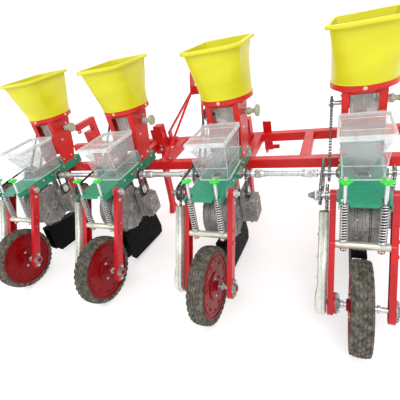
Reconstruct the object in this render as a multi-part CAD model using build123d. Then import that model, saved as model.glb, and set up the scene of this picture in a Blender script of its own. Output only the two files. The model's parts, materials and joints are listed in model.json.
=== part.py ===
from build123d import *
import math
import os

os.makedirs("parts", exist_ok=True)

# A four-row mounted corn planter.  Millimetres, +Z up, +X along the beams, +Y the travel direction.
# Unit coordinates: x from the row's centre, y forward of the press wheel's axle, z above the ground.

# ---------------------------------------------------------------- driving dimensions
ROWS = 4
ROW_PITCH = 600.0
Y_MID = 444.0                # y that becomes the row frame's origin: half way from tyre to hitch

BEAM = 50.0                  # square tube of the frame
BEAM_WALL = 4.0
BEAM_HALF = 1150.0
BEAM_Z = 450.0               # underside of the beams
REAR_Y = 576.0               # rear face of the rear beam
FRONT_Y = 925.0              # rear face of the front beam
OPENER_HALF = 28.0           # half width of the fertilizer opener's upper leg
OPENER_GAP = 4.0             # from that leg to the cross tube beside it
INNER_X = ROW_PITCH / 2      # the inner rows, from the machine's middle
CROSS_X = (INNER_X - 145.0, INNER_X + OPENER_HALF + OPENER_GAP + BEAM / 2, INNER_X + 355.0)

TRAY_HALF = 82.0
TRAY_T = 4.0
TRAY_Y0 = 112.0
TRAY_Y1 = 642.0
TRAY_H = 52.0                # flange height including the top plate
CLAMP_Y = 13.0               # foot bolt from the beam's centre line
CLAMP_X = 60.0

WHEEL_R = 174.0
WHEEL_W = 72.0
RIM_R = 147.0
RIM_WALL = 5.0
DISC_X = 29.0                # outer face of the wheel's side plates
DISC_T = 3.0
AXLE_R = 10.0

PIVOT_Y = 204.0
PIVOT_Z = 527.0
ARM_X = 112.0                # outer face of the arm's web
ARM_DEPTH = 22.0
ARM_R = 20.0                 # half width of the arm's channel
ARM_T = 3.0
ARM_TOP = 3.0                # channel's end centre beyond the pivot
ARM_END = 28.0               # channel's end centre beyond the axle
HUB_R = 17.0                 # pivot bush round the jackshaft
SHAFT_R = 10.0

ROD_X = 62.0
ROD_R = 6.5
ROD_FOOT = (108.0, 375.0)
ROD_HEAD = (141.2, 624.0)
TUBE_R = 14.0
SPRING_R = 15.5
SPRING_WIRE = 2.2
SPRING_TOP = 546.0
GRIP_R = 22.5
GRIP_T = 12.0

DRIVE_Y = 403.0
DRIVE_Z = 515.0
FERT_Y = 613.0
FERT_Z = 748.0
METER_Y = 290.0
METER_Z = 372.0
METER_R = 120.0
INPUT_Y = 392.0
INPUT_Z = 425.0

BIN_Y = 623.0
BIN_Z = 841.0
BIN_TOP = 1067.0
BIN_FOOT_R = 126.0
BIN_WALL = 3.5
BIN_LIP = 14.0               # how far the rim stands out
BIN_LIP_H = 12.0
BIN_REAR = (64.0, -81.0, 76.0)        # x, y from the centre and radius of the top's rear corners
BIN_FRONT = (106.0, 142.0, 11.0)      # the same for its front corners

BOX_WALL = 3.0
BOX_TOP = 735.0
LID_HALF = 92.0
HINGE_Y = 487.0
HINGE_Z = 739.0

HITCH_SPAN = 825.0           # between the centres of the two lower link balls
HITCH_BALL = 45.0            # width of a lower link's ball
HITCH_PIN_R = 14.0
HITCH_PIN_Z = 370.0
HITCH_PIN_Y = 1035.0
TOP_BORE_R = 12.8
TOP_BORE_Z = 880.0
TOP_BORE_Y = 1000.0
TOP_GAP = 52.0

JACK_R = 36.0                # root radii of the sprockets: wheel and jackshaft, then down the drive
SMALL_R = 30.0
BIG_R = 55.0
THIRD_R = 30.0
FERT_R = 24.0
FOURTH_R = 22.0
CASE_X = -122.0              # planes of the sprockets
SECOND_X = -146.0
INPUT_X = 116.0
CHAIN_T = 7.0
CHAIN_W = 10.0
CHAIN_GAP = 0.6

RUN = 0.1                    # radial clearance of a turning shaft
FREE = 0.5                   # clearance between faces that move past each other

UNIT_X = [(i - (ROWS - 1) / 2) * ROW_PITCH for i in range(ROWS)]
BEAM_TOP = BEAM_Z + BEAM
TRAY_TOP = BEAM_TOP + TRAY_H
TRAY_IN = TRAY_HALF - TRAY_T
REAR_MID = REAR_Y + BEAM / 2
FRONT_MID = FRONT_Y + BEAM / 2
BEAM_FRONT = FRONT_Y + BEAM
ARM_IN = ARM_X - ARM_DEPTH
ARM_LEN = math.hypot(PIVOT_Y, PIVOT_Z - WHEEL_R)
ARM_DIR = (-PIVOT_Y / ARM_LEN, (WHEEL_R - PIVOT_Z) / ARM_LEN)
ROD_LEN = math.hypot(ROD_HEAD[0] - ROD_FOOT[0], ROD_HEAD[1] - ROD_FOOT[1])
ROD_DIR = ((ROD_HEAD[0] - ROD_FOOT[0]) / ROD_LEN, (ROD_HEAD[1] - ROD_FOOT[1]) / ROD_LEN)

nodes = {}


# ---------------------------------------------------------------- helpers
def block(x0, x1, y0, y1, z0, z1):
    return Pos((x0 + x1) / 2, (y0 + y1) / 2, (z0 + z1) / 2) * Box(abs(x1 - x0), abs(y1 - y0), abs(z1 - z0))


def disc(x0, x1, y, z, r):
    return Pos((x0 + x1) / 2, y, z) * Rot(0, 90, 0) * Cylinder(r, abs(x1 - x0))


def post(x, y, z0, z1, r):
    return Pos(x, y, (z0 + z1) / 2) * Cylinder(r, abs(z1 - z0))


def plate(points, x0, x1):
    lo = min(x0, x1)
    face = Polygon(*points, align=None)
    return extrude(Plane.YZ.offset(lo) * face, amount=abs(x1 - x0), dir=(1, 0, 0))


def strip(x0, x1, a, b, r):
    """A round-ended bar between two (y, z) points, thick along X."""
    lo = min(x0, x1)
    length = math.hypot(b[0] - a[0], b[1] - a[1])
    angle = math.degrees(math.atan2(b[1] - a[1], b[0] - a[0]))
    middle = ((a[0] + b[0]) / 2, (a[1] + b[1]) / 2)
    face = Pos(middle[0], middle[1]) * Rot(0, 0, angle) * SlotOverall(length + 2 * r, 2 * r)
    return extrude(Plane.YZ.offset(lo) * face, amount=abs(x1 - x0), dir=(1, 0, 0))


def bar(p, q, r):
    axis = Vector(*q) - Vector(*p)
    return extrude(Plane(origin=p, z_dir=axis) * Circle(r), amount=axis.length)


def flat(p, q, wide, thick, across):
    axis = Vector(*q) - Vector(*p)
    return extrude(Plane(origin=p, x_dir=across, z_dir=axis) * Rectangle(wide, thick), amount=axis.length)


def hexagon(x, y, z, r, high, along):
    """A hex head whose foot is at the point and which stands along the direction."""
    face = Plane(origin=(x, y, z), z_dir=along) * RegularPolygon(r, 6)
    return extrude(face, amount=high)


def sprocket(x0, x1, y, z, r, hub):
    """Toothed wheel: r is the root radius the chain runs on."""
    body = disc(x0, x1, y, z, r)
    mid = (x0 + x1) / 2
    boss = disc(mid - 9, mid + 9, y, z, hub)
    return body + boss


def loop(x, width, a, ra, b, rb, thick):
    """A closed chain round two wheels, as a plain band."""
    def hull(ea, eb):
        dy, dz = b[0] - a[0], b[1] - a[1]
        gap = math.hypot(dy, dz)
        base = math.atan2(dz, dy)
        lean = math.acos((ea - eb) / gap)
        pts = []
        steps = 24
        for k in range(steps + 1):
            t = base + lean + (2 * math.pi - 2 * lean) * k / steps
            pts.append((a[0] + ea * math.cos(t), a[1] + ea * math.sin(t)))
        for k in range(steps + 1):
            t = base - lean + 2 * lean * k / steps
            pts.append((b[0] + eb * math.cos(t), b[1] + eb * math.sin(t)))
        return pts
    return plate(hull(ra + thick, rb + thick), x - width / 2, x + width / 2) - plate(
        hull(ra, rb), x - width, x + width)


def on_arm(along, out=0.0):
    """(y, z) of a point measured along the arm from its pivot, and out to the rear of it."""
    return (PIVOT_Y + ARM_DIR[0] * along + ARM_DIR[1] * out, PIVOT_Z + ARM_DIR[1] * along - ARM_DIR[0] * out)


def on_rod(along):
    return (ROD_FOOT[0] + ROD_DIR[0] * along, ROD_FOOT[1] + ROD_DIR[1] * along)


def put(name, shapes):
    """Store the solids of one node, moved to the row frame."""
    found = []
    for shape in shapes:
        for solid in shape.solids():
            found.append(Pos(0, -Y_MID, 0) * solid)
    nodes[name] = found


def at_rows(shapes):
    """The same unit pieces at every row."""
    return [Pos(x, 0, 0) * s for x in UNIT_X for s in shapes]


def mirrored(shape):
    return mirror(shape, about=Plane.YZ)


# ---------------------------------------------------------------- main frame
def square_tube(y_mid):
    skin = block(-BEAM_HALF, BEAM_HALF, y_mid - BEAM / 2, y_mid + BEAM / 2, BEAM_Z, BEAM_TOP)
    skin = fillet(skin.edges().filter_by(Axis.X), 5)
    core = BEAM / 2 - BEAM_WALL
    hollow = block(-BEAM_HALF - 5, BEAM_HALF + 5, y_mid - core, y_mid + core, BEAM_Z + BEAM_WALL, BEAM_TOP - BEAM_WALL)
    return skin - hollow


put("beams", [square_tube(REAR_MID), square_tube(FRONT_MID)])

cross = []
for x in CROSS_X:
    for side in (-1, 1):
        tube = block(side * x - BEAM / 2, side * x + BEAM / 2, REAR_Y + BEAM, FRONT_Y, BEAM_Z, BEAM_TOP)
        tube = fillet(tube.edges().filter_by(Axis.Y), 5)
        bore = BEAM / 2 - BEAM_WALL
        tube -= block(side * x - bore, side * x + bore, REAR_Y, BEAM_FRONT, BEAM_Z + BEAM_WALL, BEAM_TOP - BEAM_WALL)
        cross.append(tube)
put("cross_tubes", cross)

# ---------------------------------------------------------------- hitch
MAST_X = 258.0
BRACE_X = 130.0
PAD_T = 6.0
EAR_T = 8.0
MAST_BOLT = 31.0
BRACE_BOLT = 33.0


LEG_WIDE = 38.0
LEG_T = 10.0
LEG_BEND = 555.0             # height at which the leg leans inward
BRACE_R = 7.0
APEX = (TOP_BORE_Y - 38, TOP_BORE_Z - 78)     # where leg, brace and ear meet


def mast_side():
    ear_mid = TOP_GAP / 2 + EAR_T / 2
    foot = block(MAST_X - 42, MAST_X + 42, FRONT_Y + 3, BEAM_FRONT - 3, BEAM_TOP, BEAM_TOP + PAD_T)
    foot += block(MAST_X - LEG_T / 2, MAST_X + LEG_T / 2, FRONT_MID - LEG_WIDE / 2, FRONT_MID + LEG_WIDE / 2,
                  BEAM_TOP, LEG_BEND)
    leg = flat((MAST_X, FRONT_MID, LEG_BEND - 4), (ear_mid, APEX[0], APEX[1]), LEG_WIDE, LEG_T, (0, 1, 0))
    pad = block(BRACE_X - 44, BRACE_X + 44, REAR_Y + 3, REAR_Y + BEAM - 3, BEAM_TOP, BEAM_TOP + PAD_T)
    brace = bar((BRACE_X, REAR_MID, BEAM_TOP + 2), (ear_mid, APEX[0] - 10, APEX[1]), BRACE_R)
    brace -= block(0, 400, 500, 800, BEAM_TOP - 60, BEAM_TOP)
    ear = strip(TOP_GAP / 2, TOP_GAP / 2 + EAR_T, (TOP_BORE_Y, TOP_BORE_Z), APEX, 28)
    half = foot + leg + pad + brace + ear
    half -= block(-200, TOP_GAP / 2, 400, 1100, 400, 1000)
    half -= disc(0, 100, TOP_BORE_Y, TOP_BORE_Z, TOP_BORE_R)
    for dx in (-MAST_BOLT, MAST_BOLT):
        half -= post(MAST_X + dx, FRONT_MID, BEAM_TOP - 5, BEAM_TOP + 12, 5.5)
    for dx in (-BRACE_BOLT, BRACE_BOLT):
        half -= post(BRACE_X + dx, REAR_MID, BEAM_TOP - 5, BEAM_TOP + 12, 5.5)
    return half


side = mast_side()
tie = block(-TOP_GAP / 2 - 1, TOP_GAP / 2 + 1, APEX[0] - 24, APEX[0] - 10, APEX[1] - 22, APEX[1] + 26)
put("hitch_mast", [side + mirrored(side) + tie])

PLATE_T = 8.0
GUSSET_T = 10.0
GUSSET_X = (HITCH_SPAN - HITCH_BALL) / 2 - 1.5     # outer face of the gusset, beside the link's ball
PIN_OUT = 70.0               # how far a lower pin stands out of its gusset


def hitch_bracket():
    base = block(GUSSET_X - GUSSET_T, GUSSET_X + 40, BEAM_FRONT, BEAM_FRONT + PLATE_T, HITCH_PIN_Z + 6, 560)
    gusset = plate([(BEAM_FRONT, 560), (BEAM_FRONT + 20, 560), (HITCH_PIN_Y + 15, HITCH_PIN_Z + 46),
                    (HITCH_PIN_Y + 27, HITCH_PIN_Z + 20), (HITCH_PIN_Y + 27, HITCH_PIN_Z - 16),
                    (HITCH_PIN_Y + 11, HITCH_PIN_Z - 28), (HITCH_PIN_Y - 35, HITCH_PIN_Z - 28),
                    (BEAM_FRONT, HITCH_PIN_Z + 6)], GUSSET_X - GUSSET_T, GUSSET_X)
    pin = disc(GUSSET_X - GUSSET_T - 4, GUSSET_X + PIN_OUT, HITCH_PIN_Y, HITCH_PIN_Z, HITCH_PIN_R)
    return base + gusset + pin


bracket = hitch_bracket()
put("hitch_brackets", [bracket, mirrored(bracket)])

# ---------------------------------------------------------------- row marker brackets
MARK_X = 894.0
MARK_W = 40.0
MARK_TOP = 704.0
MARK_END = 784.0             # rear face of the bracket's arm
MARK_BOLT_R = 6.0


def marker_bracket():
    foot = block(MARK_X - 40, MARK_X + 40, FRONT_Y + 3, BEAM_FRONT - 3, BEAM_TOP, BEAM_TOP + PAD_T)
    stem = block(MARK_X - 20, MARK_X + 20, FRONT_MID - 20, FRONT_MID + 20, BEAM_TOP, MARK_TOP)
    arm = block(MARK_X - 20, MARK_X + 20, 790, FRONT_MID, MARK_TOP - MARK_W, MARK_TOP)
    shape = stem + arm
    shape -= block(MARK_X - 17, MARK_X + 17, 780, FRONT_MID + 17, MARK_TOP - MARK_W + 3, MARK_TOP - 3)
    end = block(MARK_X - 20, MARK_X + 20, MARK_END, MARK_END + 6, MARK_TOP - MARK_W, MARK_TOP)
    lug = block(MARK_X - 3, MARK_X + 3, MARK_END, MARK_END + 30, MARK_TOP - MARK_W - 26, MARK_TOP - MARK_W + 1)
    lug -= disc(MARK_X - 10, MARK_X + 10, MARK_END + 15, MARK_TOP - MARK_W - 13, MARK_BOLT_R)
    shape = shape + foot + end + lug
    for dx in (-31, 31):
        shape -= post(MARK_X + dx, FRONT_MID, BEAM_TOP - 5, BEAM_TOP + 12, 5.5)
    return shape


marker = marker_bracket()
put("marker_brackets", [marker, mirrored(marker)])

# ---------------------------------------------------------------- trays
FOOT_T = 4.0
FOOT_IN = 40.0
SLOT_END = 148.0             # front end of the open slot that an adjuster rod stands in
SLOT_W = 22.0
LIP_HALF = 45.0              # half width and height of the tray's rear lip
LIP_H = 14.0


def tray():
    skin = plate([(TRAY_Y0, TRAY_TOP), (TRAY_Y1, TRAY_TOP), (TRAY_Y1, BEAM_TOP), (236, BEAM_TOP), (166, TRAY_TOP - 34),
                  (TRAY_Y0, TRAY_TOP - 24)], -TRAY_HALF, TRAY_HALF)
    skin -= block(-TRAY_IN, TRAY_IN, TRAY_Y0 + TRAY_T, TRAY_Y1 + 5, BEAM_TOP - 5, TRAY_TOP - TRAY_T)
    skin -= block(-TRAY_IN, TRAY_IN, TRAY_Y0 - 1, TRAY_Y0 + TRAY_T, BEAM_TOP, TRAY_TOP - LIP_H)
    for s in (-1, 1):
        skin += block(s * FOOT_IN, s * TRAY_IN, REAR_Y, REAR_Y + BEAM, BEAM_TOP, BEAM_TOP + FOOT_T)
        skin -= disc(s * 70, s * 90, PIVOT_Y, PIVOT_Z, SHAFT_R + 2)
        skin -= disc(s * 70, s * 90, DRIVE_Y, DRIVE_Z, SHAFT_R + 2)
        skin -= block(s * LIP_HALF, s * TRAY_IN, TRAY_Y0 - 1, TRAY_Y0 + TRAY_T, BEAM_TOP, TRAY_TOP - TRAY_T)
        skin -= block(s * ROD_X - SLOT_W / 2, s * ROD_X + SLOT_W / 2, TRAY_Y0 - 1, SLOT_END, TRAY_TOP - 10, TRAY_TOP + 5)
        for dy in (-CLAMP_Y, CLAMP_Y):
            skin -= post(s * CLAMP_X, REAR_MID + dy, BEAM_TOP - 5, BEAM_TOP + 8, 5.5)
    skin -= block(-28, 28, 302, 358, TRAY_TOP - 10, TRAY_TOP + 5)
    return skin


put("trays", at_rows([tray()]))

# ---------------------------------------------------------------- hopper stands
STAND_X = 82.0
SHEET = 3.0
CUP_R = 129.0
CUP_Z = 800.0
CUP_BAND = 21.0              # height of the cup's upright band, above its cone
CUP_HOLE = 92.0
POST_W = 28.0                # width of the stand's rear posts
BACK_Y = 525.0
BACK_LOW = 604.0


def cup():
    """A rolled ring with a cone under it, open in the middle."""
    band = BIN_Z - CUP_BAND
    profile = Polyline((CUP_HOLE, CUP_Z), (CUP_HOLE + 5, CUP_Z), (CUP_R, band), (CUP_R, BIN_Z), (CUP_HOLE, BIN_Z),
                       (CUP_HOLE, BIN_Z - SHEET), (CUP_R - SHEET, BIN_Z - SHEET), (CUP_R - SHEET, band + 2),
                       (CUP_HOLE, CUP_Z + 2), close=True)
    face = Plane(origin=(0, BIN_Y, 0), x_dir=(1, 0, 0), z_dir=(0, -1, 0)) * make_face(profile)
    return revolve(face, Axis((0, BIN_Y, 0), (0, 0, 1)), 360)


def stand():
    top = BIN_Z - CUP_BAND - 2
    outline = [(524, top), (690, top), (652, 700), (630, 624), (592, TRAY_TOP), (497, TRAY_TOP), (493, 622),
               (BACK_Y + 2, 720)]
    both = []
    for s in (-1, 1):
        cheek = plate(outline, s * (STAND_X - SHEET), s * STAND_X)
        foot = block(s * 58, s * STAND_X, 500, 590, TRAY_TOP, TRAY_TOP + SHEET)
        both.append(cheek + foot)
    inner = STAND_X - 1
    window = STAND_X - POST_W
    back = block(-inner, inner, BACK_Y, BACK_Y + SHEET, BACK_LOW, top)
    back -= block(-window, window, BACK_Y - 5, BACK_Y + 10, 722, CUP_Z)
    shelf = block(-inner, inner, BACK_Y, 640, 697, 700) - block(-64, 64, 550, 660, 690, 710)
    shape = both[0] + both[1] + back + shelf + cup()
    shape -= disc(-100, 100, FERT_Y, FERT_Z, SHAFT_R + 3)
    return shape


put("hopper_stands", at_rows([stand()]))


# ---------------------------------------------------------------- fertilizer bins
def top_corners(extra):
    """Centre and radius of the four corners of the top's outline, going round from the front right."""
    rear, front = BIN_REAR, BIN_FRONT
    return [(front[0], front[1], front[2] + extra), (-front[0], front[1], front[2] + extra),
            (-rear[0], rear[1], rear[2] + extra), (rear[0], rear[1], rear[2] + extra)]


def tangent(a, b):
    """Direction, in degrees, of the normal of the outer tangent that runs from corner a to corner b."""
    dx, dy = b[0] - a[0], b[1] - a[1]
    return math.degrees(math.atan2(dy, dx)) - 90 + math.degrees(math.asin((b[2] - a[2]) / math.hypot(dx, dy)))


def on_corner(corner, angle):
    t = math.radians(angle)
    return (corner[0] + corner[2] * math.cos(t), BIN_Y + corner[1] + corner[2] * math.sin(t))


def outline_pieces(extra):
    """Start, middle and end points of the eight edges of the top's outline: corner, side, corner, side."""
    corners = top_corners(extra)
    normals = [tangent(corners[k], corners[(k + 1) % 4]) % 360 for k in range(4)]
    pieces = []
    for k, corner in enumerate(corners):
        begin, end = normals[k - 1], normals[k]
        if end < begin:
            end += 360
        points = [on_corner(corner, t) for t in (begin, (begin + end) / 2, end)]
        pieces.append(points)
        following = on_corner(corners[(k + 1) % 4], normals[k])
        middle = ((points[2][0] + following[0]) / 2, (points[2][1] + following[1]) / 2)
        pieces.append([points[2], middle, following])
    return pieces


def top_section(extra, z):
    edges = []
    for k, (p, m, q) in enumerate(outline_pieces(extra)):
        p, m, q = [(x, y, z) for x, y in (p, m, q)]
        edges.append(ThreePointArc(p, m, q) if k % 2 == 0 else Line(p, q))
    return make_face(edges)


def foot_section(extra, z):
    """A circle, cut into eight arcs that face the edges of the top's outline."""
    edges = []
    for p, m, q in outline_pieces(0):
        arc = []
        for x, y in (p, m, q):
            t = math.atan2(y - BIN_Y, x)
            arc.append(t)
        begin, end = arc[0], arc[2]
        if end < begin:
            end += 2 * math.pi
        r = BIN_FOOT_R + extra
        edges.append(ThreePointArc(*[(r * math.cos(t), BIN_Y + r * math.sin(t), z)
                                     for t in (begin, (begin + end) / 2, end)]))
    return make_face(edges)


def bin_shape():
    outer = loft([foot_section(0, BIN_Z), top_section(0, BIN_TOP)], ruled=True)
    inner = loft([foot_section(-BIN_WALL, BIN_Z + 4), top_section(-BIN_WALL, BIN_TOP + 2)], ruled=True)
    lip = extrude(top_section(BIN_LIP, BIN_TOP - BIN_LIP_H), amount=BIN_LIP_H)
    lip = fillet(lip.edges().group_by(Axis.Z)[-1], 4)
    lip -= extrude(top_section(BIN_LIP - 3, BIN_TOP - BIN_LIP_H - 2), amount=BIN_LIP_H - 2)
    lip -= extrude(top_section(-BIN_WALL - 0.5, BIN_TOP - 2 * BIN_LIP_H), amount=3 * BIN_LIP_H)
    shape = (outer + lip) - inner
    shape -= post(0, BIN_Y, BIN_Z - 5, BIN_Z + 10, 60)
    return shape


one_bin = bin_shape()
for i, x in enumerate(UNIT_X):
    put("fertilizer_bin_%d" % (i + 1), [Pos(x, 0, 0) * one_bin])


# ---------------------------------------------------------------- fertilizer meters
def meter_body():
    box = block(-50, 60, 562, 676, 700, 796)
    box += extrude(Plane.XY.offset(796) * Pos(0, BIN_Y) * Rectangle(96, 96), amount=20, taper=-30)
    box -= extrude(Plane.XY.offset(797) * Pos(0, BIN_Y) * Rectangle(86, 86), amount=30, taper=-30)
    box -= block(-34, 34, 590, 640, 760, 800)
    box -= disc(-36, 36, FERT_Y, FERT_Z, 32)
    box -= disc(-90, 90, FERT_Y, FERT_Z, SHAFT_R + RUN)
    box += post(0, 652, 664, 700, 21)
    box -= post(0, 652, 650, 712, 17)
    box -= block(-16, 16, 630, 664, 706, 735)
    return box


put("fert_meters", at_rows([meter_body()]))

KNOB_X = 100.0


def fert_shaft():
    shaft = disc(-136, KNOB_X, FERT_Y, FERT_Z, SHAFT_R)
    rotor = disc(-34, 34, FERT_Y, FERT_Z, 29)
    for k in range(8):
        a = 2 * math.pi * k / 8
        rotor -= disc(-40, 40, FERT_Y + 29 * math.cos(a), FERT_Z + 29 * math.sin(a), 6)
    wheel = sprocket(CASE_X - 3, CASE_X + 3, FERT_Y, FERT_Z, FERT_R, 16)
    knob = hexagon(KNOB_X, FERT_Y, FERT_Z, 19, 14, (1, 0, 0))
    knob += disc(KNOB_X + 14, KNOB_X + 38, FERT_Y, FERT_Z, 11)
    knob += disc(KNOB_X + 38, KNOB_X + 55, FERT_Y, FERT_Z, 27)
    knob += disc(KNOB_X - 12, KNOB_X, FERT_Y, FERT_Z, 14) - disc(KNOB_X - 13, KNOB_X, FERT_Y, FERT_Z, SHAFT_R)
    return [shaft + rotor + wheel, knob]


put("fert_meter_shafts", at_rows(fert_shaft()))


# ---------------------------------------------------------------- seed boxes and lids
def tapered(inset, drop):
    half = [68 - inset, 78 - inset, 88 - inset]
    back = [280 + inset, 268 + inset, 250 + inset]
    front = [470 - inset, 475 - inset, 480 - inset]
    level = [TRAY_TOP + drop, 615, BOX_TOP + drop]
    faces = []
    for h, y0, y1, z in zip(half, back, front, level):
        faces.append(Plane.XY.offset(z) * Pos(0, (y0 + y1) / 2) * RectangleRounded(2 * h, y1 - y0, 14 - inset))
    return loft(faces, ruled=True)


def seed_box():
    shape = tapered(0, 0) - tapered(BOX_WALL, BOX_WALL)
    shape -= block(-26, 26, 304, 356, TRAY_TOP - 5, TRAY_TOP + 10)
    for s in (-1, 1):
        lug = block(s * 60, s * 68, 478, HINGE_Y, HINGE_Z - 14, HINGE_Z - 3)
        lug += disc(s * 60, s * 68, HINGE_Y, HINGE_Z, 4) + block(s * 60, s * 68, HINGE_Y - 4, HINGE_Y, HINGE_Z - 6, HINGE_Z)
        lug -= disc(s * 50, s * 90, HINGE_Y, HINGE_Z, 2 + RUN)
        shape += lug
    return shape


def lid():
    top = block(-LID_HALF, LID_HALF, 240, HINGE_Y, HINGE_Z, HINGE_Z + 3)
    top += block(-LID_HALF, LID_HALF, 240, 242.5, HINGE_Z - 14, HINGE_Z)
    for s in (-1, 1):
        top += block(s * (LID_HALF - 2.5), s * LID_HALF, 240, HINGE_Y - 8, HINGE_Z - 14, HINGE_Z)
        top -= block(s * 59.5, s * 68.5, HINGE_Y - 5, HINGE_Y + 5, HINGE_Z - 5, HINGE_Z + 5)
    top += disc(-59.5, 59.5, HINGE_Y, HINGE_Z, 4)
    top += disc(-74, 74, HINGE_Y, HINGE_Z, 2)
    return top


one_box = seed_box()
one_lid = lid()
for i, x in enumerate(UNIT_X):
    put("seed_box_%d" % (i + 1), [Pos(x, 0, 0) * one_box])
    put("seed_box_lid_%d" % (i + 1), [Pos(x, 0, 0) * one_lid])


# ---------------------------------------------------------------- seed meters
def meter_house():
    drum = disc(-45, 75, METER_Y, METER_Z, METER_R)
    drum = fillet(drum.edges().filter_by(GeomType.CIRCLE), 5)
    drum -= disc(-40, -20, METER_Y, METER_Z, METER_R - 10)
    drum += disc(75, 84, METER_Y, METER_Z, 26)
    drum -= disc(-30, 90, METER_Y, METER_Z, 8 + RUN)
    chute = block(-24, 24, 306, 354, METER_Z + 60, TRAY_TOP)
    drum += chute
    drum -= block(-19, 19, 311, 349, METER_Z + 80, TRAY_TOP + 2)
    drum += block(-18, 60, METER_Y, 412, METER_Z + 20, METER_Z + 60) & disc(-45, 75, METER_Y, METER_Z, 130)
    gear = block(86, 106, 336, 446, 282, 446) + block(104, 152, 346, 440, 276, 392)
    gear += block(60, 90, 352, 400, 330, 400)
    gear -= disc(80, 112, INPUT_Y, INPUT_Z, 8 + RUN)
    hang = block(-24, 24, 424, 430, METER_Z + 20, TRAY_TOP - TRAY_T)
    hang += block(-24, 24, 380, 430, METER_Z + 20, METER_Z + 26)
    spout = block(-22, 22, 236, 300, 238, METER_Z - METER_R + 5)
    spout -= block(-18, 18, 240, 296, 230, METER_Z - METER_R - 2)
    return drum + gear + hang + spout


put("seed_meters", at_rows([meter_house()]))


def seed_disc():
    wheel = disc(-33, -28, METER_Y, METER_Z, METER_R - 14)
    for k in range(24):
        a = 2 * math.pi * k / 24
        wheel -= disc(-40, -20, METER_Y + 94 * math.cos(a), METER_Z + 94 * math.sin(a), 5)
    return [wheel + disc(-38, 80, METER_Y, METER_Z, 8)]


put("seed_discs", at_rows(seed_disc()))

def input_wheel():
    return [disc(84, 122, INPUT_Y, INPUT_Z, 8) + disc(INPUT_X - 3, INPUT_X + 3, INPUT_Y, INPUT_Z, FOURTH_R)]


put("meter_sprockets", at_rows(input_wheel()))


# ---------------------------------------------------------------- openers
def seed_shank():
    return plate([(REAR_Y, BEAM_TOP), (REAR_Y, 300), (546, 176), (540, 70), (500, 70), (502, 176), (528, 300),
                  (528, BEAM_TOP)], -12, 12)


put("seed_shanks", at_rows([seed_shank()]))


def seed_boot():
    side_line = [(197, 85), (223, 46), (500, 8), (536, 8), (550, 50), (528, 178), (210, 234)]
    hollow = [(180, 79), (222, 36), (470, -4), (488, 10), (488, 171), (200, 222)]
    shell = plate(side_line, -30, 30) - plate(hollow, -26, 26)
    shell -= plate([(540.5, 60), (540.5, 69.5), (546.5, 176), (548, 200), (501.5, 200), (501.5, 176), (499.5, 69.5),
                    (499.5, 60)], -12.3, 12.3)
    nose = plate([(500, 8), (536, 8), (562, 0), (500, 0)], -14, 14)
    return [shell, nose]


put("seed_boots", at_rows(seed_boot()))




def fert_opener():
    leg = plate([(865, 620), (865, 440), (FRONT_Y, 440), (FRONT_Y, 620)], -OPENER_HALF, OPENER_HALF)
    leg += plate([(865, 460), (865, 440), (806, 300), (786, 120), (776, 60), (816, 60), (838, 130), (856, 290),
                  (FRONT_Y, 430), (FRONT_Y, 460)], -14, 14)
    point = plate([(776, 60), (748, 6), (752, 0), (836, 0), (836, 8), (816, 60)], -16, 16)
    return [leg, point]


put("fertilizer_openers", at_rows(fert_opener()))


# ---------------------------------------------------------------- bearings on the trays
def bearing(s, y, z, flange_r, bush_r, reach):
    shape = disc(s * TRAY_HALF, s * (TRAY_HALF + 7), y, z, flange_r)
    shape += disc(s * TRAY_HALF, s * reach, y, z, bush_r)
    shape -= disc(s * 60, s * 130, y, z, SHAFT_R + RUN)
    return shape


housings = []
for s in (-1, 1):
    housings.append(bearing(s, PIVOT_Y, PIVOT_Z, 24, HUB_R, ARM_X))
    housings.append(bearing(s, DRIVE_Y, DRIVE_Z, 24, 18, TRAY_HALF + 14))
put("shaft_bearings", at_rows(housings))


# ---------------------------------------------------------------- turning shafts
jack = disc(-176, 128, PIVOT_Y, PIVOT_Z, SHAFT_R)
jack += sprocket(CASE_X - 3, CASE_X + 3, PIVOT_Y, PIVOT_Z, JACK_R, 16) & disc(-140, -113, PIVOT_Y, PIVOT_Z, 60)
jack += sprocket(SECOND_X - 3, SECOND_X + 3, PIVOT_Y, PIVOT_Z, SMALL_R, 17)
jack += disc(113, 123, PIVOT_Y, PIVOT_Z, 17)
jack += hexagon(128, PIVOT_Y, PIVOT_Z, 10, 7, (1, 0, 0))
put("jackshafts", at_rows([jack]))

drive = disc(UNIT_X[0] - 176, UNIT_X[-1] + 140, DRIVE_Y, DRIVE_Z, SHAFT_R)
for x in UNIT_X:
    drive += disc(x + SECOND_X - 3, x + SECOND_X + 3, DRIVE_Y, DRIVE_Z, BIG_R)
    drive += disc(x + SECOND_X - 10, x + CASE_X + 8, DRIVE_Y, DRIVE_Z, 17)
    drive += disc(x + CASE_X - 3, x + CASE_X + 3, DRIVE_Y, DRIVE_Z, THIRD_R)
    drive += disc(x + INPUT_X - 3, x + INPUT_X + 3, DRIVE_Y, DRIVE_Z, FOURTH_R)
    drive += disc(x + INPUT_X - 8, x + INPUT_X + 10, DRIVE_Y, DRIVE_Z, 15)
for a, b in zip(UNIT_X[:-1], UNIT_X[1:]):
    left, right = a + 136, b - 168
    drive += disc(left + 60, right - 60, DRIVE_Y, DRIVE_Z, 14)
    for start, way in ((left, 1), (right, -1)):
        drive += disc(start, start + way * 22, DRIVE_Y, DRIVE_Z, 17)
        for turn in (0, 90):
            across = Pos(start + way * 33, DRIVE_Y, DRIVE_Z) * Rot(turn, 0, 0)
            drive += across * Box(26, 38, 15)
        drive += disc(start + way * 44, start + way * 66, DRIVE_Y, DRIVE_Z, 17)
put("drive_shaft", [drive])

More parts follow.
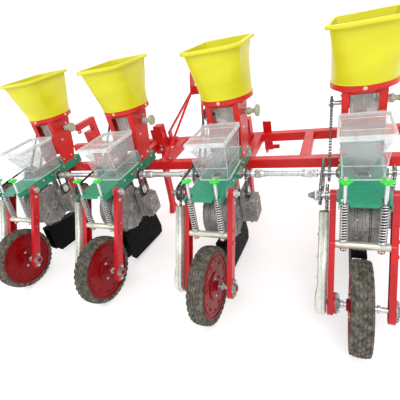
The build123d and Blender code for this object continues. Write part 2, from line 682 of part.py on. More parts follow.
# ---------------------------------------------------------------- chains between fixed shafts
chains = [
    loop(SECOND_X, CHAIN_W, (PIVOT_Y, PIVOT_Z), SMALL_R + CHAIN_GAP, (DRIVE_Y, DRIVE_Z), BIG_R + CHAIN_GAP, CHAIN_T),
    loop(CASE_X, CHAIN_W, (DRIVE_Y, DRIVE_Z), THIRD_R + CHAIN_GAP, (FERT_Y, FERT_Z), FERT_R + CHAIN_GAP, CHAIN_T),
    loop(INPUT_X, CHAIN_W, (DRIVE_Y, DRIVE_Z), FOURTH_R + CHAIN_GAP, (INPUT_Y, INPUT_Z), FOURTH_R + CHAIN_GAP, CHAIN_T),
]
put("drive_chains", at_rows(chains))


# ---------------------------------------------------------------- fasteners of the frame
def foot_bolts():
    heads = []
    for s in (-1, 1):
        for dy in (-CLAMP_Y, CLAMP_Y):
            heads.append(hexagon(s * CLAMP_X, REAR_MID + dy, BEAM_TOP + FOOT_T, 9, 8, (0, 0, 1)))
    return heads


fixings = at_rows(foot_bolts())
for x in UNIT_X:
    for z in (462, 488):
        fixings.append(hexagon(x, BEAM_FRONT, z, 10, 8, (0, 1, 0)))
        fixings.append(hexagon(x, 865, z, 10, 8, (0, -1, 0)))
for s in (-1, 1):
    for dx in (-MAST_BOLT, MAST_BOLT):
        fixings.append(hexagon(s * MAST_X + dx, FRONT_MID, BEAM_TOP + PAD_T, 9, 8, (0, 0, 1)))
    for dx in (-BRACE_BOLT, BRACE_BOLT):
        fixings.append(hexagon(s * BRACE_X + dx, REAR_MID, BEAM_TOP + PAD_T, 9, 8, (0, 0, 1)))
    for dx in (-31, 31):
        fixings.append(hexagon(s * MARK_X + dx, FRONT_MID, BEAM_TOP + PAD_T, 9, 8, (0, 0, 1)))
    for z in (462, 488):
        fixings.append(hexagon(s * (GUSSET_X + 27), BEAM_FRONT + PLATE_T, z, 10, 8, (0, 1, 0)))
put("frame_bolts", fixings)

# ---------------------------------------------------------------- press wheel arms
BEARING_T = 16.0


def arm_channel(s):
    top = on_arm(-ARM_TOP)
    low = on_arm(ARM_LEN + ARM_END)
    shape = strip(s * ARM_IN, s * ARM_X, top, low, ARM_R)
    shape -= strip(s * (ARM_IN - 1), s * (ARM_X - ARM_T), top, low, ARM_R - ARM_T)
    shape += disc(s * ARM_IN, s * ARM_X, PIVOT_Y, PIVOT_Z, ARM_R)
    shape -= disc(s * (ARM_IN - 5), s * (ARM_X + 5), PIVOT_Y, PIVOT_Z, HUB_R + RUN)
    shape -= disc(s * (ARM_IN - 5), s * (ARM_X + 5), 0, WHEEL_R, AXLE_R + 3)
    return shape


def flange_bearing(s, face, out):
    lo, hi = face, face + out * 6
    body = strip(s * lo, s * hi, on_arm(ARM_LEN - 30), on_arm(ARM_LEN + 30), 11)
    body += disc(s * lo, s * hi, 0, WHEEL_R, 24)
    body += disc(s * lo, s * (face + out * BEARING_T), 0, WHEEL_R, 19)
    body -= disc(s * (face - 30), s * (face + 30), 0, WHEEL_R, AXLE_R + RUN)
    for reach in (-30, 30):
        y, z = on_arm(ARM_LEN + reach)
        body += hexagon(s * hi, y, z, 7.5, 5, (s * out, 0, 0))
    return body


def rod_piece(s):
    a = (s * ROD_X, ROD_FOOT[0] - ROD_DIR[0] * 24, ROD_FOOT[1] - ROD_DIR[1] * 24)
    b = (s * ROD_X, ROD_HEAD[0] + ROD_DIR[0] * 14, ROD_HEAD[1] + ROD_DIR[1] * 14)
    return bar(a, b, ROD_R)


def rod_nut(s, along, r, high):
    y, z = on_rod(along)
    return hexagon(s * ROD_X, y, z, r, high, (0, ROD_DIR[0], ROD_DIR[1])) - rod_piece(s)


def arm_set():
    frame = arm_channel(-1) + arm_channel(1)
    tube = disc(-ARM_X + 2, ARM_X - 2, ROD_FOOT[0], ROD_FOOT[1], TUBE_R)
    frame += tube
    for s in (-1, 1):
        frame -= rod_piece(s)
        for along in (158, 212):
            y, z = on_arm(along)
            if s > 0:
                frame += hexagon(ARM_X, y, z, 8, 5, (1, 0, 0))
    parts = [frame]
    parts.append(flange_bearing(1, ARM_X, 1))
    parts.append(flange_bearing(-1, ARM_IN, -1))
    for s in (-1, 1):
        rod = rod_piece(s) + hexagon(s * ROD_X, *on_rod(-24), 12, 8, (0, ROD_DIR[0], ROD_DIR[1]))
        parts.append(rod)
    return parts


# ---------------------------------------------------------------- chain cases
CASE_R = 48.0
CASE_W = 34.0
CASE_SKIN = 1.5
CASE_SHORT = 88.0            # the open end, short of the pivot


def chain_case():
    low = on_arm(ARM_LEN)
    high = on_arm(0)
    outer = strip(-ARM_X - 2 - CASE_W, -ARM_X - 2, low, high, CASE_R)
    inner = strip(-ARM_X - 2 - CASE_W + CASE_SKIN, -ARM_X - 2 - CASE_SKIN, low, high, CASE_R - CASE_SKIN)
    keep_a = on_arm(CASE_SHORT)
    cut = Pos(-130, keep_a[0] - ARM_DIR[0] * 150, keep_a[1] - ARM_DIR[1] * 150)
    turn = math.degrees(math.atan2(ARM_DIR[1], ARM_DIR[0]))
    cutter = cut * Rot(turn, 0, 0) * Box(80, 300, 300)
    shell = outer - inner - cutter
    shell -= disc(-ARM_X - 8, -ARM_X + 8, 0, WHEEL_R, 26)
    for along in (150, 330):
        y, z = on_arm(along)
        shell += disc(-ARM_X, -ARM_X - 2 - CASE_SKIN, y, z, 8)
    for along in (170, 300):
        y, z = on_arm(along)
        shell += hexagon(-ARM_X - 2 - CASE_W, y, z, 7, 4, (-1, 0, 0))
    low_chain = loop(CASE_X, CHAIN_W, low, JACK_R + CHAIN_GAP, (PIVOT_Y, PIVOT_Z), JACK_R + CHAIN_GAP, CHAIN_T)
    return [shell, low_chain]


# ---------------------------------------------------------------- press wheels
def tyre_shape():
    w = WHEEL_W / 2
    profile = Polyline((RIM_R, -w + 4), (158, -w), (166, -w + 1), (171, -w + 8), (WHEEL_R, -12), (WHEEL_R, 12),
                       (171, w - 8), (166, w - 1), (158, w), (RIM_R, w - 4), close=True)
    face = Plane(origin=(0, 0, WHEEL_R), x_dir=(0, 1, 0), z_dir=(0, 0, 1)) * make_face(profile)
    return revolve(face, Axis((0, 0, WHEEL_R), (1, 0, 0)), 360)


HUB_OUT = 22.0
HUB_HALF = 45.0


def wheel_disc():
    w = WHEEL_W / 2 - 4
    rim = disc(-w, w, 0, WHEEL_R, RIM_R) - disc(-w - 1, w + 1, 0, WHEEL_R, RIM_R - RIM_WALL)
    shape = rim
    for s in (-1, 1):
        shape += disc(s * (DISC_X - DISC_T), s * DISC_X, 0, WHEEL_R, RIM_R - 2)
        for k in range(6):
            a = 2 * math.pi * (k + 0.5) / 6
            shape += hexagon(s * DISC_X, 104 * math.cos(a), WHEEL_R + 104 * math.sin(a), 7, 4, (s, 0, 0))
        shape += disc(s * DISC_X, s * (DISC_X + 5), 0, WHEEL_R, 62) - disc(0, s * 50, 0, WHEEL_R, 50)
    shape -= disc(-50, 50, 0, WHEEL_R, HUB_OUT)
    axle = disc(-HUB_HALF, HUB_HALF, 0, WHEEL_R, HUB_OUT)
    axle += disc(-140, ARM_X + BEARING_T + 4, 0, WHEEL_R, AXLE_R)
    axle += disc(CASE_X - 3, CASE_X + 3, 0, WHEEL_R, JACK_R) + disc(CASE_X - 7, CASE_X + 7, 0, WHEEL_R, 17)
    return [shape, axle]


# ---------------------------------------------------------------- springs and handwheels
SPRING_FOOT = TUBE_R + 3.0


def spring(s):
    start = on_rod(SPRING_FOOT + SPRING_WIRE + 1)
    length = (SPRING_TOP - SPRING_WIRE - 4.5 - start[1]) / ROD_DIR[1]
    coil = Helix(pitch=length / 16, height=length, radius=SPRING_R - SPRING_WIRE)
    ring = Plane(origin=coil @ 0, z_dir=coil % 0) * Circle(SPRING_WIRE)
    wire = sweep(ring, path=coil)
    lean = -math.degrees(math.atan2(ROD_DIR[0], ROD_DIR[1]))
    return Pos(s * ROD_X, start[0], start[1]) * Rot(lean, 0, 0) * wire


def grip(s):
    y, z = ROD_HEAD
    base = Plane(origin=(s * ROD_X, y - ROD_DIR[0] * GRIP_T / 2, z - ROD_DIR[1] * GRIP_T / 2), x_dir=(1, 0, 0),
                 z_dir=(0, ROD_DIR[0], ROD_DIR[1]))
    face = Circle(GRIP_R - 5)
    for k in range(6):
        face += Rot(0, 0, 60 * k) * Pos(GRIP_R - 6.5, 0) * Circle(6.5)
    shape = extrude(base * face, amount=GRIP_T)
    shape += extrude(base * Circle(11), amount=-6)
    bore = extrude(base * Circle(ROD_R + RUN), amount=GRIP_T + 5)
    bore += extrude(base * Circle(ROD_R + RUN), amount=-12)
    return shape - bore


arm_parts = arm_set()
case_parts = chain_case()
one_tyre = tyre_shape()
wheel_parts = wheel_disc()
coils = [spring(-1), spring(1)]
grips = {"L": grip(-1), "R": grip(1)}
for i, x in enumerate(UNIT_X):
    n = i + 1
    put("press_arm_%d" % n, [Pos(x, 0, 0) * p for p in arm_parts])
    put("chain_case_%d" % n, [Pos(x, 0, 0) * p for p in case_parts])
    put("tyre_%d" % n, [Pos(x, 0, 0) * one_tyre])
    put("wheel_disc_%d" % n, [Pos(x, 0, 0) * p for p in wheel_parts])
    put("springs_%d" % n, [Pos(x, 0, 0) * c for c in coils])
    for side_name, shape in grips.items():
        put("handwheel_%d%s" % (n, side_name), [Pos(x, 0, 0) * shape])

# ---------------------------------------------------------------- export
for name, solids in nodes.items():
    shape = solids[0] if len(solids) == 1 else Compound(children=solids)
    export_step(shape, "parts/%s.step" % name)
print(len(nodes), "nodes")
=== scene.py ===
import json
from math import acos, asin, atan2, copysign, cos, hypot, pi, radians, sin, sqrt, tau
import bmesh
import bpy
from mathutils import Matrix, Vector


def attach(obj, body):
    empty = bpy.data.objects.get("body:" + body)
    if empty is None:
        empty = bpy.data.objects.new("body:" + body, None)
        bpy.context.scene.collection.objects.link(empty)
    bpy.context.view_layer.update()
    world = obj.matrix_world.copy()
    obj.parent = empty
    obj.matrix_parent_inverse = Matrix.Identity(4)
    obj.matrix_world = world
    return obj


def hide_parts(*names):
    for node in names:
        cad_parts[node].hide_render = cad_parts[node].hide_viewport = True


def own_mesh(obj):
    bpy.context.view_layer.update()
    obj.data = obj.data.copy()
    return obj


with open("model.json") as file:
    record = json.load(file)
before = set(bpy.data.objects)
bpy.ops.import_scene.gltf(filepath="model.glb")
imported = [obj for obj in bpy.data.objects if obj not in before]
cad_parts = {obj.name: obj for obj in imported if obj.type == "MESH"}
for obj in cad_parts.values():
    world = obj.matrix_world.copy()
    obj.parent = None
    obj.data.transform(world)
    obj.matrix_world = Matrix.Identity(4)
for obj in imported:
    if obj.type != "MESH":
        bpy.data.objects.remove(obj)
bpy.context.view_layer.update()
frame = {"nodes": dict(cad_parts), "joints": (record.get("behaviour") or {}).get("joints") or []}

# ---- sizes shared with the frame, in metres
ROWS = (1, 2, 3, 4)
RIGHT = (1, 0, 0)
JOINT = {j["name"]: j for j in frame["joints"]}


def joint_at(name):
    return Vector(JOINT[name]["pos_m"])


ROW_X = {n: joint_at("wheel_%d_spin" % n).x for n in ROWS}
AXLE = joint_at("wheel_1_spin")
PIVOT = joint_at("arm_1_swing")
DRIVE = joint_at("drive_shaft_spin")
FERT = joint_at("fert_shafts_spin")
INPUT = joint_at("meter_inputs_spin")
METER = joint_at("seed_discs_spin")
GRIP = joint_at("handwheel_1R_turn")
ROD_AXIS = Vector(JOINT["handwheel_1R_turn"]["axis"]).normalized()
ROD_X = GRIP.x - ROW_X[1]
ARM_AXIS = (Vector((0, AXLE.y, AXLE.z)) - Vector((0, PIVOT.y, PIVOT.z))).normalized()
ARM_LEN = hypot(AXLE.y - PIVOT.y, AXLE.z - PIVOT.z)
Y_MID = 0.444                # from a unit's own y, forward of its axle, to the row frame's


def unit(n, x, y, z):
    """A point of row n in unit coordinates: x from its centre, y forward of its axle, z above the ground."""
    return Vector((ROW_X[n] + x, y - Y_MID, z))


def at(n, joint, x=0.0):
    """A joint's place in row n, moved along X."""
    return Vector((ROW_X[n] + x, joint.y, joint.z))


def mm(*values):
    """Millimetres, two to a point, as points in metres."""
    return [(a / 1000, b / 1000) for a, b in zip(values[::2], values[1::2])]


def polar(radius, angle, height=0.0):
    return Vector((radius * cos(angle), radius * sin(angle), height))


# ---- materials
class Nodes:
    """A small helper that adds and links shader nodes."""

    def __init__(self, name):
        self.mat = bpy.data.materials.new(name)
        self.mat.use_nodes = True
        self.tree = self.mat.node_tree
        self.tree.nodes.clear()
        self.out = self.add("ShaderNodeOutputMaterial")
        self.shader = self.add("ShaderNodeBsdfPrincipled")
        self.link(self.shader.outputs[0], self.out.inputs["Surface"])
        self.coord = self.add("ShaderNodeTexCoord").outputs["Object"]

    def add(self, kind, **values):
        node = self.tree.nodes.new(kind)
        for key, value in values.items():
            setattr(node, key, value)
        return node

    def link(self, a, b):
        self.tree.links.new(a, b)

    def put(self, node, **values):
        for key, value in values.items():
            node.inputs[key.replace("_", " ")].default_value = value

    def set(self, **values):
        self.put(self.shader, **values)

    def noise(self, scale, detail=4.0, rough=0.55, stretch=None):
        node = self.add("ShaderNodeTexNoise")
        self.put(node, Scale=scale, Detail=detail, Roughness=rough)
        source = self.coord
        if stretch:
            mapping = self.add("ShaderNodeMapping")
            self.put(mapping, Scale=stretch)
            self.link(self.coord, mapping.inputs["Vector"])
            source = mapping.outputs[0]
        self.link(source, node.inputs["Vector"])
        return node.outputs["Fac"]

    def cells(self, scale):
        node = self.add("ShaderNodeTexVoronoi")
        self.put(node, Scale=scale)
        self.link(self.coord, node.inputs["Vector"])
        return node

    def ramp(self, source, stops):
        node = self.add("ShaderNodeValToRGB")
        ramp = node.color_ramp
        while len(ramp.elements) < len(stops):
            ramp.elements.new(0.5)
        for element, (place, colour) in zip(ramp.elements, stops):
            element.position = place
            element.color = colour if len(colour) == 4 else tuple(colour) + (1.0,)
        self.link(source, node.inputs["Fac"])
        return node.outputs["Color"]

    def step(self, source, low, high):
        """Black below low, white above high."""
        return self.ramp(source, [(low, (0, 0, 0)), (high, (1, 1, 1))])

    def mix(self, factor, a, b, mode="MIX"):
        node = self.add("ShaderNodeMix", data_type="RGBA", blend_type=mode)
        for socket, value in ((node.inputs[0], factor), (node.inputs[6], a), (node.inputs[7], b)):
            if hasattr(value, "links"):
                self.link(value, socket)
            elif isinstance(value, (int, float)):
                socket.default_value = value
            else:
                socket.default_value = tuple(value) + (1.0,)
        return node.outputs[2]

    def span(self, source, low, high, a=0.0, b=1.0):
        node = self.add("ShaderNodeMapRange")
        self.put(node, From_Min=low, From_Max=high, To_Min=a, To_Max=b)
        self.link(source, node.inputs["Value"])
        return node.outputs["Result"]

    def bump(self, source, strength, distance):
        node = self.add("ShaderNodeBump")
        self.put(node, Strength=strength, Distance=distance)
        self.link(source, node.inputs["Height"])
        self.link(node.outputs["Normal"], self.shader.inputs["Normal"])

    def colour(self, source):
        self.link(source, self.shader.inputs["Base Color"])

    def rough(self, source):
        self.link(source, self.shader.inputs["Roughness"])


def shade(colour, factor):
    return tuple(min(1.0, c * factor) for c in colour)


def paint(name, colour, rough=0.32, dirt=(0.2, 0.17, 0.13), dirt_share=0.05, coat=0.08, gloss=0.32):
    """Sprayed enamel: a little orange peel, soft colour drift, light dust and small chips."""
    m = Nodes(name)
    drift = m.noise(9.0, 3.0)
    base = m.mix(m.span(drift, 0.3, 0.7), shade(colour, 0.86), shade(colour, 1.08))
    dust = m.step(m.noise(38.0, 6.0, 0.62), 0.52, 0.78)
    dusty = m.mix(dirt_share, base, dirt)
    surface = m.mix(dust, base, dusty)
    chips = m.ramp(m.cells(180.0).outputs["Distance"], [(0.035, (1, 1, 1)), (0.05, (0, 0, 0))])
    patch = m.step(m.noise(14.0, 2.0), 0.66, 0.74)
    m.colour(m.mix(m.mix(patch, (0, 0, 0), chips), surface, shade(colour, 0.45)))
    m.rough(m.span(m.noise(24.0, 5.0), 0.3, 0.75, rough - 0.07, rough + 0.16))
    m.bump(m.noise(420.0, 2.0), 0.1, 0.0006)
    m.set(Coat_Weight=coat, Coat_Roughness=0.12, Specular_IOR_Level=gloss)
    return m.mat


def plastic(name, colour, rough=0.38, glow=0.0):
    """Moulded plastic: fine texture, faint flow marks and scuffs."""
    m = Nodes(name)
    flow = m.noise(5.0, 3.0, 0.5, (1.0, 1.0, 3.0))
    base = m.mix(m.span(flow, 0.3, 0.7), shade(colour, 0.93), shade(colour, 1.05))
    scuff = m.step(m.noise(60.0, 6.0, 0.7, (1.0, 1.0, 0.25)), 0.62, 0.8)
    m.colour(m.mix(m.mix(0.16, (0, 0, 0), scuff), base, (0.85, 0.85, 0.75)))
    m.rough(m.span(m.noise(30.0, 4.0), 0.3, 0.7, rough - 0.06, rough + 0.1))
    m.bump(m.noise(900.0, 2.0), 0.07, 0.0003)
    m.set(Specular_IOR_Level=0.45)
    if glow:
        m.set(Subsurface_Weight=glow, Subsurface_Radius=(0.02, 0.02, 0.01), Subsurface_Scale=0.4)
    return m.mat


def metal(name, colour, rough=0.28, brushed=None, spangle=False, stain=0.25, metallic=1.0):
    """Bare or plated metal with fine scratches, smudges and, if galvanised, its crystal pattern."""
    m = Nodes(name)
    smudge = m.noise(16.0, 5.0, 0.6)
    base = m.mix(m.span(smudge, 0.35, 0.72, 0.0, stain * 2), colour, shade(colour, 0.55))
    if spangle:
        cell = m.cells(95.0)
        grey = m.ramp(cell.outputs["Color"], [(0.0, (0.82, 0.82, 0.82)), (1.0, (1.08, 1.08, 1.08))])
        base = m.mix(1.0, base, grey, "MULTIPLY")
    m.colour(base)
    m.rough(m.span(m.noise(70.0, 5.0), 0.3, 0.75, rough - 0.08, rough + 0.16))
    lines = m.noise(260.0, 3.0, 0.6, brushed) if brushed else m.noise(340.0, 3.0)
    m.bump(lines, 0.1, 0.0004)
    m.set(Metallic=metallic)
    return m.mat


def casting(name, colour, rough=0.55, metallic=0.55):
    """Sand- or die-cast metal: pebbled skin with darker hollows."""
    m = Nodes(name)
    grain = m.noise(190.0, 5.0, 0.65)
    broad = m.noise(22.0, 4.0)
    base = m.mix(m.span(broad, 0.32, 0.7), shade(colour, 0.62), shade(colour, 1.2))
    pits = m.noise(75.0, 4.0, 0.7)
    base = m.mix(m.span(pits, 0.5, 0.66, 0.0, 0.75), base, shade(colour, 0.22))
    m.colour(m.mix(m.span(grain, 0.42, 0.62, 0.0, 0.5), base, shade(colour, 0.6)))
    m.rough(m.span(grain, 0.3, 0.7, rough - 0.1, rough + 0.15))
    m.bump(grain, 0.4, 0.0012)
    m.set(Metallic=metallic)
    return m.mat


def rubber(name, colour, dust):
    """Tyre rubber with dried soil in its low places."""
    m = Nodes(name)
    soil = m.step(m.noise(44.0, 6.0, 0.66), 0.4, 0.66)
    fine = m.noise(420.0, 4.0, 0.6)
    base = m.mix(m.span(fine, 0.35, 0.65), shade(colour, 0.75), shade(colour, 1.2))
    m.colour(m.mix(m.mix(0.75, (0, 0, 0), soil), base, dust))
    m.rough(m.span(fine, 0.3, 0.7, 0.72, 0.92))
    m.bump(fine, 0.35, 0.0008)
    m.set(Specular_IOR_Level=0.25)
    return m.mat


def clear(name, tint, alpha, rough=0.09):
    """Thin clear plastic, a little hazy, with scratches."""
    m = Nodes(name)
    haze = m.noise(26.0, 6.0, 0.65)
    m.colour(m.mix(m.span(haze, 0.35, 0.7), tint, shade(tint, 1.12)))
    scratch = m.noise(90.0, 5.0, 0.7, (1.0, 6.0, 1.0))
    m.rough(m.span(scratch, 0.35, 0.75, rough, rough + 0.18))
    m.link(m.span(haze, 0.35, 0.75, alpha * 0.8, alpha * 1.2), m.shader.inputs["Alpha"])
    m.bump(m.noise(60.0, 2.0), 0.06, 0.0006)
    m.set(Specular_IOR_Level=0.7, IOR=1.45)
    return m.mat


RED = paint("red_enamel", (0.62, 0.008, 0.008), rough=0.34)
STAND_RED = paint("stand_enamel", (0.62, 0.018, 0.014), rough=0.32)
ARM_RED = paint("arm_enamel", (0.54, 0.01, 0.016), rough=0.3, coat=0.2)
WHEEL_RED = paint("wheel_enamel", (0.23, 0.0008, 0.003), rough=0.3, dirt_share=0.02, coat=0.0, gloss=0.18)
GREEN = paint("tray_green", (0.012, 0.27, 0.15), rough=0.3, dirt_share=0.03, coat=0.12)
BLACK = paint("boot_black", (0.0012, 0.0012, 0.0014), rough=0.55, dirt=(0.05, 0.045, 0.04), coat=0.0,
    gloss=0.08)
YELLOW = plastic("bin_yellow", (0.67, 0.63, 0.01), rough=0.34, glow=0.05)
LIME = plastic("lime_plastic", (0.035, 0.66, 0.045), rough=0.36)
KNOB = plastic("knob_grey_green", (0.4, 0.43, 0.32), rough=0.42)
METER_PLASTIC = clear("meter_box", (0.7, 0.72, 0.69), 0.62, rough=0.2)
METER_FRAME = plastic("meter_frame", (0.62, 0.63, 0.6), rough=0.35)
CLEAR = clear("clear_box", (0.74, 0.77, 0.79), 0.13)
CLEAR_EDGE = clear("clear_edge", (0.88, 0.9, 0.91), 0.5, rough=0.12)
FUNNEL_CLEAR = clear("clear_funnel", (0.8, 0.84, 0.86), 0.17)
OUTLET_CLEAR = clear("clear_outlet", (0.62, 0.63, 0.62), 0.45)
LID_CLEAR = clear("clear_lid", (0.78, 0.8, 0.81), 0.2)
LID_EDGE = clear("clear_lid_edge", (0.84, 0.86, 0.87), 0.42, rough=0.14)
SMOKE = clear("smoke_cover", (0.3, 0.28, 0.29), 0.72, rough=0.1)
SEAM = rubber("seam_rubber", (0.01, 0.01, 0.01), (0.03, 0.03, 0.03))
TYRE = rubber("tyre_rubber", (0.055, 0.05, 0.043), (0.24, 0.215, 0.17))
ZINC = metal("bright_zinc", (0.66, 0.67, 0.68), rough=0.3, brushed=(0.05, 1.0, 1.0))
SPRING_STEEL = metal("spring_steel", (0.8, 0.81, 0.81), rough=0.3, metallic=0.85)
# Near-black steel for the rods' thread inside the springs. This is painted shade: the dark seen between the
# coils. The same rod above the springs is bright steel.
ROD_SHADE_STEEL = metal("thread_steel_painted_shade", (0.05, 0.05, 0.05), rough=0.55, metallic=0.4)
GALVANISED = metal("galvanised_sheet", (0.74, 0.76, 0.68), rough=0.32, spangle=True, metallic=0.6)
PALE_TUBE = metal("plated_tube", (0.7, 0.69, 0.56), rough=0.34, metallic=0.6)
CHAIN = metal("chain_steel", (0.085, 0.08, 0.075), rough=0.42, stain=0.4)
CHAIN_BRIGHT = metal("chain_roller", (0.3, 0.29, 0.27), rough=0.3)
CAST = casting("cast_iron", (0.36, 0.36, 0.35))
ALUMINIUM = casting("cast_aluminium", (0.4, 0.39, 0.37), rough=0.5, metallic=0.5)
BRASS = metal("brass_plated", (0.86, 0.72, 0.42), rough=0.28)


# ---- mesh helpers
def link(obj):
    bpy.context.scene.collection.objects.link(obj)


def finish_mesh(name, bm, material, body, smooth=40.0, bevel=None):
    """Turns a bmesh into a named piece that rides on a body."""
    bmesh.ops.recalc_face_normals(bm, faces=bm.faces)
    mesh = bpy.data.meshes.new(name)
    bm.to_mesh(mesh)
    bm.free()
    obj = bpy.data.objects.new(name, mesh)
    link(obj)
    for one in (material if isinstance(material, (list, tuple)) else [material]):
        mesh.materials.append(one)
    for face in mesh.polygons:
        face.use_smooth = True
    mesh.set_sharp_from_angle(angle=radians(smooth))
    if bevel:
        mod = obj.modifiers.new("edges", "BEVEL")
        mod.width = bevel
        mod.segments = 2
        mod.limit_method = "ANGLE"
        mod.angle_limit = radians(35)
        mod.harden_normals = True
    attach(obj, body)
    return obj


def lathe(bm, profile, matrix, steps=48, index=0, close=False):
    """Spins (radius, height) points about the matrix's Z axis."""
    rings = []
    for radius, height in profile:
        if radius < 1e-7:
            ring = [bm.verts.new(matrix @ Vector((0, 0, height)))] * steps
        else:
            ring = [bm.verts.new(matrix @ spot) for spot in circle(steps, radius, height)]
        rings.append(ring)
    pairs = list(zip(rings[:-1], rings[1:]))
    if close:
        pairs.append((rings[-1], rings[0]))
    for a, b in pairs:
        for k in range(steps):
            corners = list(dict.fromkeys([a[k], a[(k + 1) % steps], b[(k + 1) % steps], b[k]]))
            if len(corners) > 2:
                bm.faces.new(corners).material_index = index


def skin(bm, rings, index=0):
    """Quads between closed rings of as many vertices."""
    for a, b in zip(rings[:-1], rings[1:]):
        for k in range(len(a)):
            bm.faces.new([a[k], a[k - len(a) + 1], b[k - len(a) + 1], b[k]]).material_index = index


def prism(bm, outline, matrix, low, high, index=0, inset=0.0):
    """A closed outline in the matrix's XY plane, raised from low to high, its far edge chamfered by inset."""
    n = len(outline)
    middle = sum((Vector((p[0], p[1], 0)) for p in outline), Vector()) / n
    levels = [(low, 0.0), (high, 0.0)]
    if inset:
        levels = [(low, inset), (low + inset, 0.0), (high - inset, 0.0), (high, inset)]
    rings = []
    for z, pull in levels:
        ring = []
        for px, py in outline:
            v = Vector((px, py, 0))
            if pull:
                v = v - (v - middle).normalized() * pull
            ring.append(bm.verts.new(matrix @ Vector((v.x, v.y, z))))
        rings.append(ring)
    skin(bm, rings, index)
    for ring, flip in ((rings[0], True), (rings[-1], False)):
        bm.faces.new(list(reversed(ring)) if flip else ring).material_index = index


def slab(bm, low, high, index=0):
    outline = [(low[0], low[1]), (high[0], low[1]), (high[0], high[1]), (low[0], high[1])]
    prism(bm, outline, Matrix.Identity(4), low[2], high[2], index)


def circle(count, radius, height=0.0, turn=0.0):
    """Points evenly round the Z axis."""
    angles = [tau * k / count + turn for k in range(count)]
    return [polar(radius, t, height) for t in angles]


def crosswise(point, turn=0.0):
    """A matrix at the point whose Z axis is the machine's X, and whose X axis is turned up from Y."""
    c, s = cos(turn), sin(turn)
    return Matrix.Translation(point) @ Matrix(((0, 0, 1, 0), (c, -s, 0, 0), (s, c, 0, 0), (0, 0, 0, 1)))


def toward(point, direction):
    """A matrix at the point whose Z axis is the direction."""
    return Matrix.Translation(point) @ Vector(direction).to_track_quat("Z", "Y").to_matrix().to_4x4()


def polygon(count, radius, turn=0.0):
    return [(spot.x, spot.y) for spot in circle(count, radius, 0.0, turn)]


def bolt(bm, point, direction, size=0.008, index=0, washer=True):
    """Hex head with a washer and the thread's end."""
    place = toward(point, direction)
    height = size * 0.7
    if washer:
        lathe(bm, [(0, 0.0), (size * 1.35, 0.0), (size * 1.35, size * 0.16), (0, size * 0.16)], place, 20,
            index)
    prism(bm, polygon(6, size), place, size * 0.16, height, index, inset=size * 0.1)
    end = height + size * 0.5
    lathe(bm, [(size * 0.5, height - 0.0005), (size * 0.5, end - 0.0006), (size * 0.42, end), (0, end)],
        place, 14, index)


def obround_points(radius, length, steps=20, start=0.0):
    """A closed slot outline: two half circles, length apart along X, beginning at the far one."""
    pts = []
    for k in range(steps + 1):
        t = -pi / 2 + pi * k / steps
        pts.append((length + radius * cos(t), radius * sin(t)))
    for k in range(steps + 1):
        t = pi / 2 + pi * k / steps
        pts.append((start + radius * cos(t), radius * sin(t)))
    return pts


def sweep(bm, path, profile, height, index=0):
    """Carries (outward, upward) profile points round a closed outline of (x, y, normal's angle)."""
    rings = []
    for x, y, angle in path:
        ring = [bm.verts.new((x + out * cos(angle), y + out * sin(angle), height + up)) for out,
            up in profile]
        rings.append(ring)
    skin(bm, rings + rings[:1], index)


def round_path(corners, steps=8):
    """The hull of circles (x, y, radius), given counter-clockwise, as points with the normal's angle."""
    count = len(corners)
    angles = []
    for k in range(count):
        a, b = corners[k], corners[(k + 1) % count]
        dx, dy = b[0] - a[0], b[1] - a[1]
        angles.append(atan2(dy, dx) - pi / 2 + asin((b[2] - a[2]) / hypot(dx, dy)))
    path = []
    for k, (x, y, radius) in enumerate(corners):
        begin, end = angles[k - 1], angles[k]
        while end < begin:
            end += tau
        for j in range(steps + 1):
            t = begin + (end - begin) * j / steps
            path.append((x + radius * cos(t), y + radius * sin(t), t))
    return path


def box_path(n, half, rear, front, radius):
    """A rounded rectangle about a row, from rear to front."""
    x = ROW_X[n]
    y0, y1 = rear - Y_MID + radius, front - Y_MID - radius
    side = half - radius
    return round_path([(x + side, y1, radius), (x - side, y1, radius), (x - side, y0, radius),
        (x + side, y0, radius)])


def bead(radius, height, thick, count=8, high=None):
    """A small round or oval section, as lathe points."""
    return [(radius + spot.x, height + spot.y * (high or thick) / thick) for spot in circle(count, thick)]


def repaint(node, material):
    mesh = frame["nodes"][node].data
    mesh.materials.clear()
    mesh.materials.append(material)


# ---- CAD nodes and their finishes
FINISHES = (
    (RED, "beams cross_tubes hitch_mast hitch_brackets marker_brackets fertilizer_openers seed_shanks"),
    (ZINC, "frame_bolts drive_shaft jackshafts fert_meter_shafts meter_sprockets"),
    (GREEN, "trays"), (BLACK, "seed_boots"), (ALUMINIUM, "seed_meters"), (STAND_RED, "hopper_stands"),
    (METER_PLASTIC, "fert_meters"), (CAST, "shaft_bearings"), (CHAIN, "drive_chains"), (KNOB, "seed_discs"),
    (YELLOW, "fertilizer_bin_%d"), (CLEAR, "seed_box_%d"), (LID_CLEAR, "seed_box_lid_%d"),
    (SPRING_STEEL, "springs_%d"), (ARM_RED, "press_arm_%d"), (GALVANISED, "chain_case_%d"),
    (WHEEL_RED, "wheel_disc_%d"), (TYRE, "tyre_%d"), (LIME, "handwheel_%dL handwheel_%dR"),
)
for finish, names in FINISHES:
    for name in names.split():
        for node in ([name % n for n in ROWS] if "%" in name else [name]):
            repaint(node, finish)


# ---- tyres
LUGS = 34
FLANK = mm(147, 31.5, 153.5, 34.5, 158.5, 35, 163, 33.5, 166.5, 29, 168.2, 19)
CARCASS = [(r, -w) for r, w in FLANK] + [(0.169, 0.0)] + FLANK[::-1]
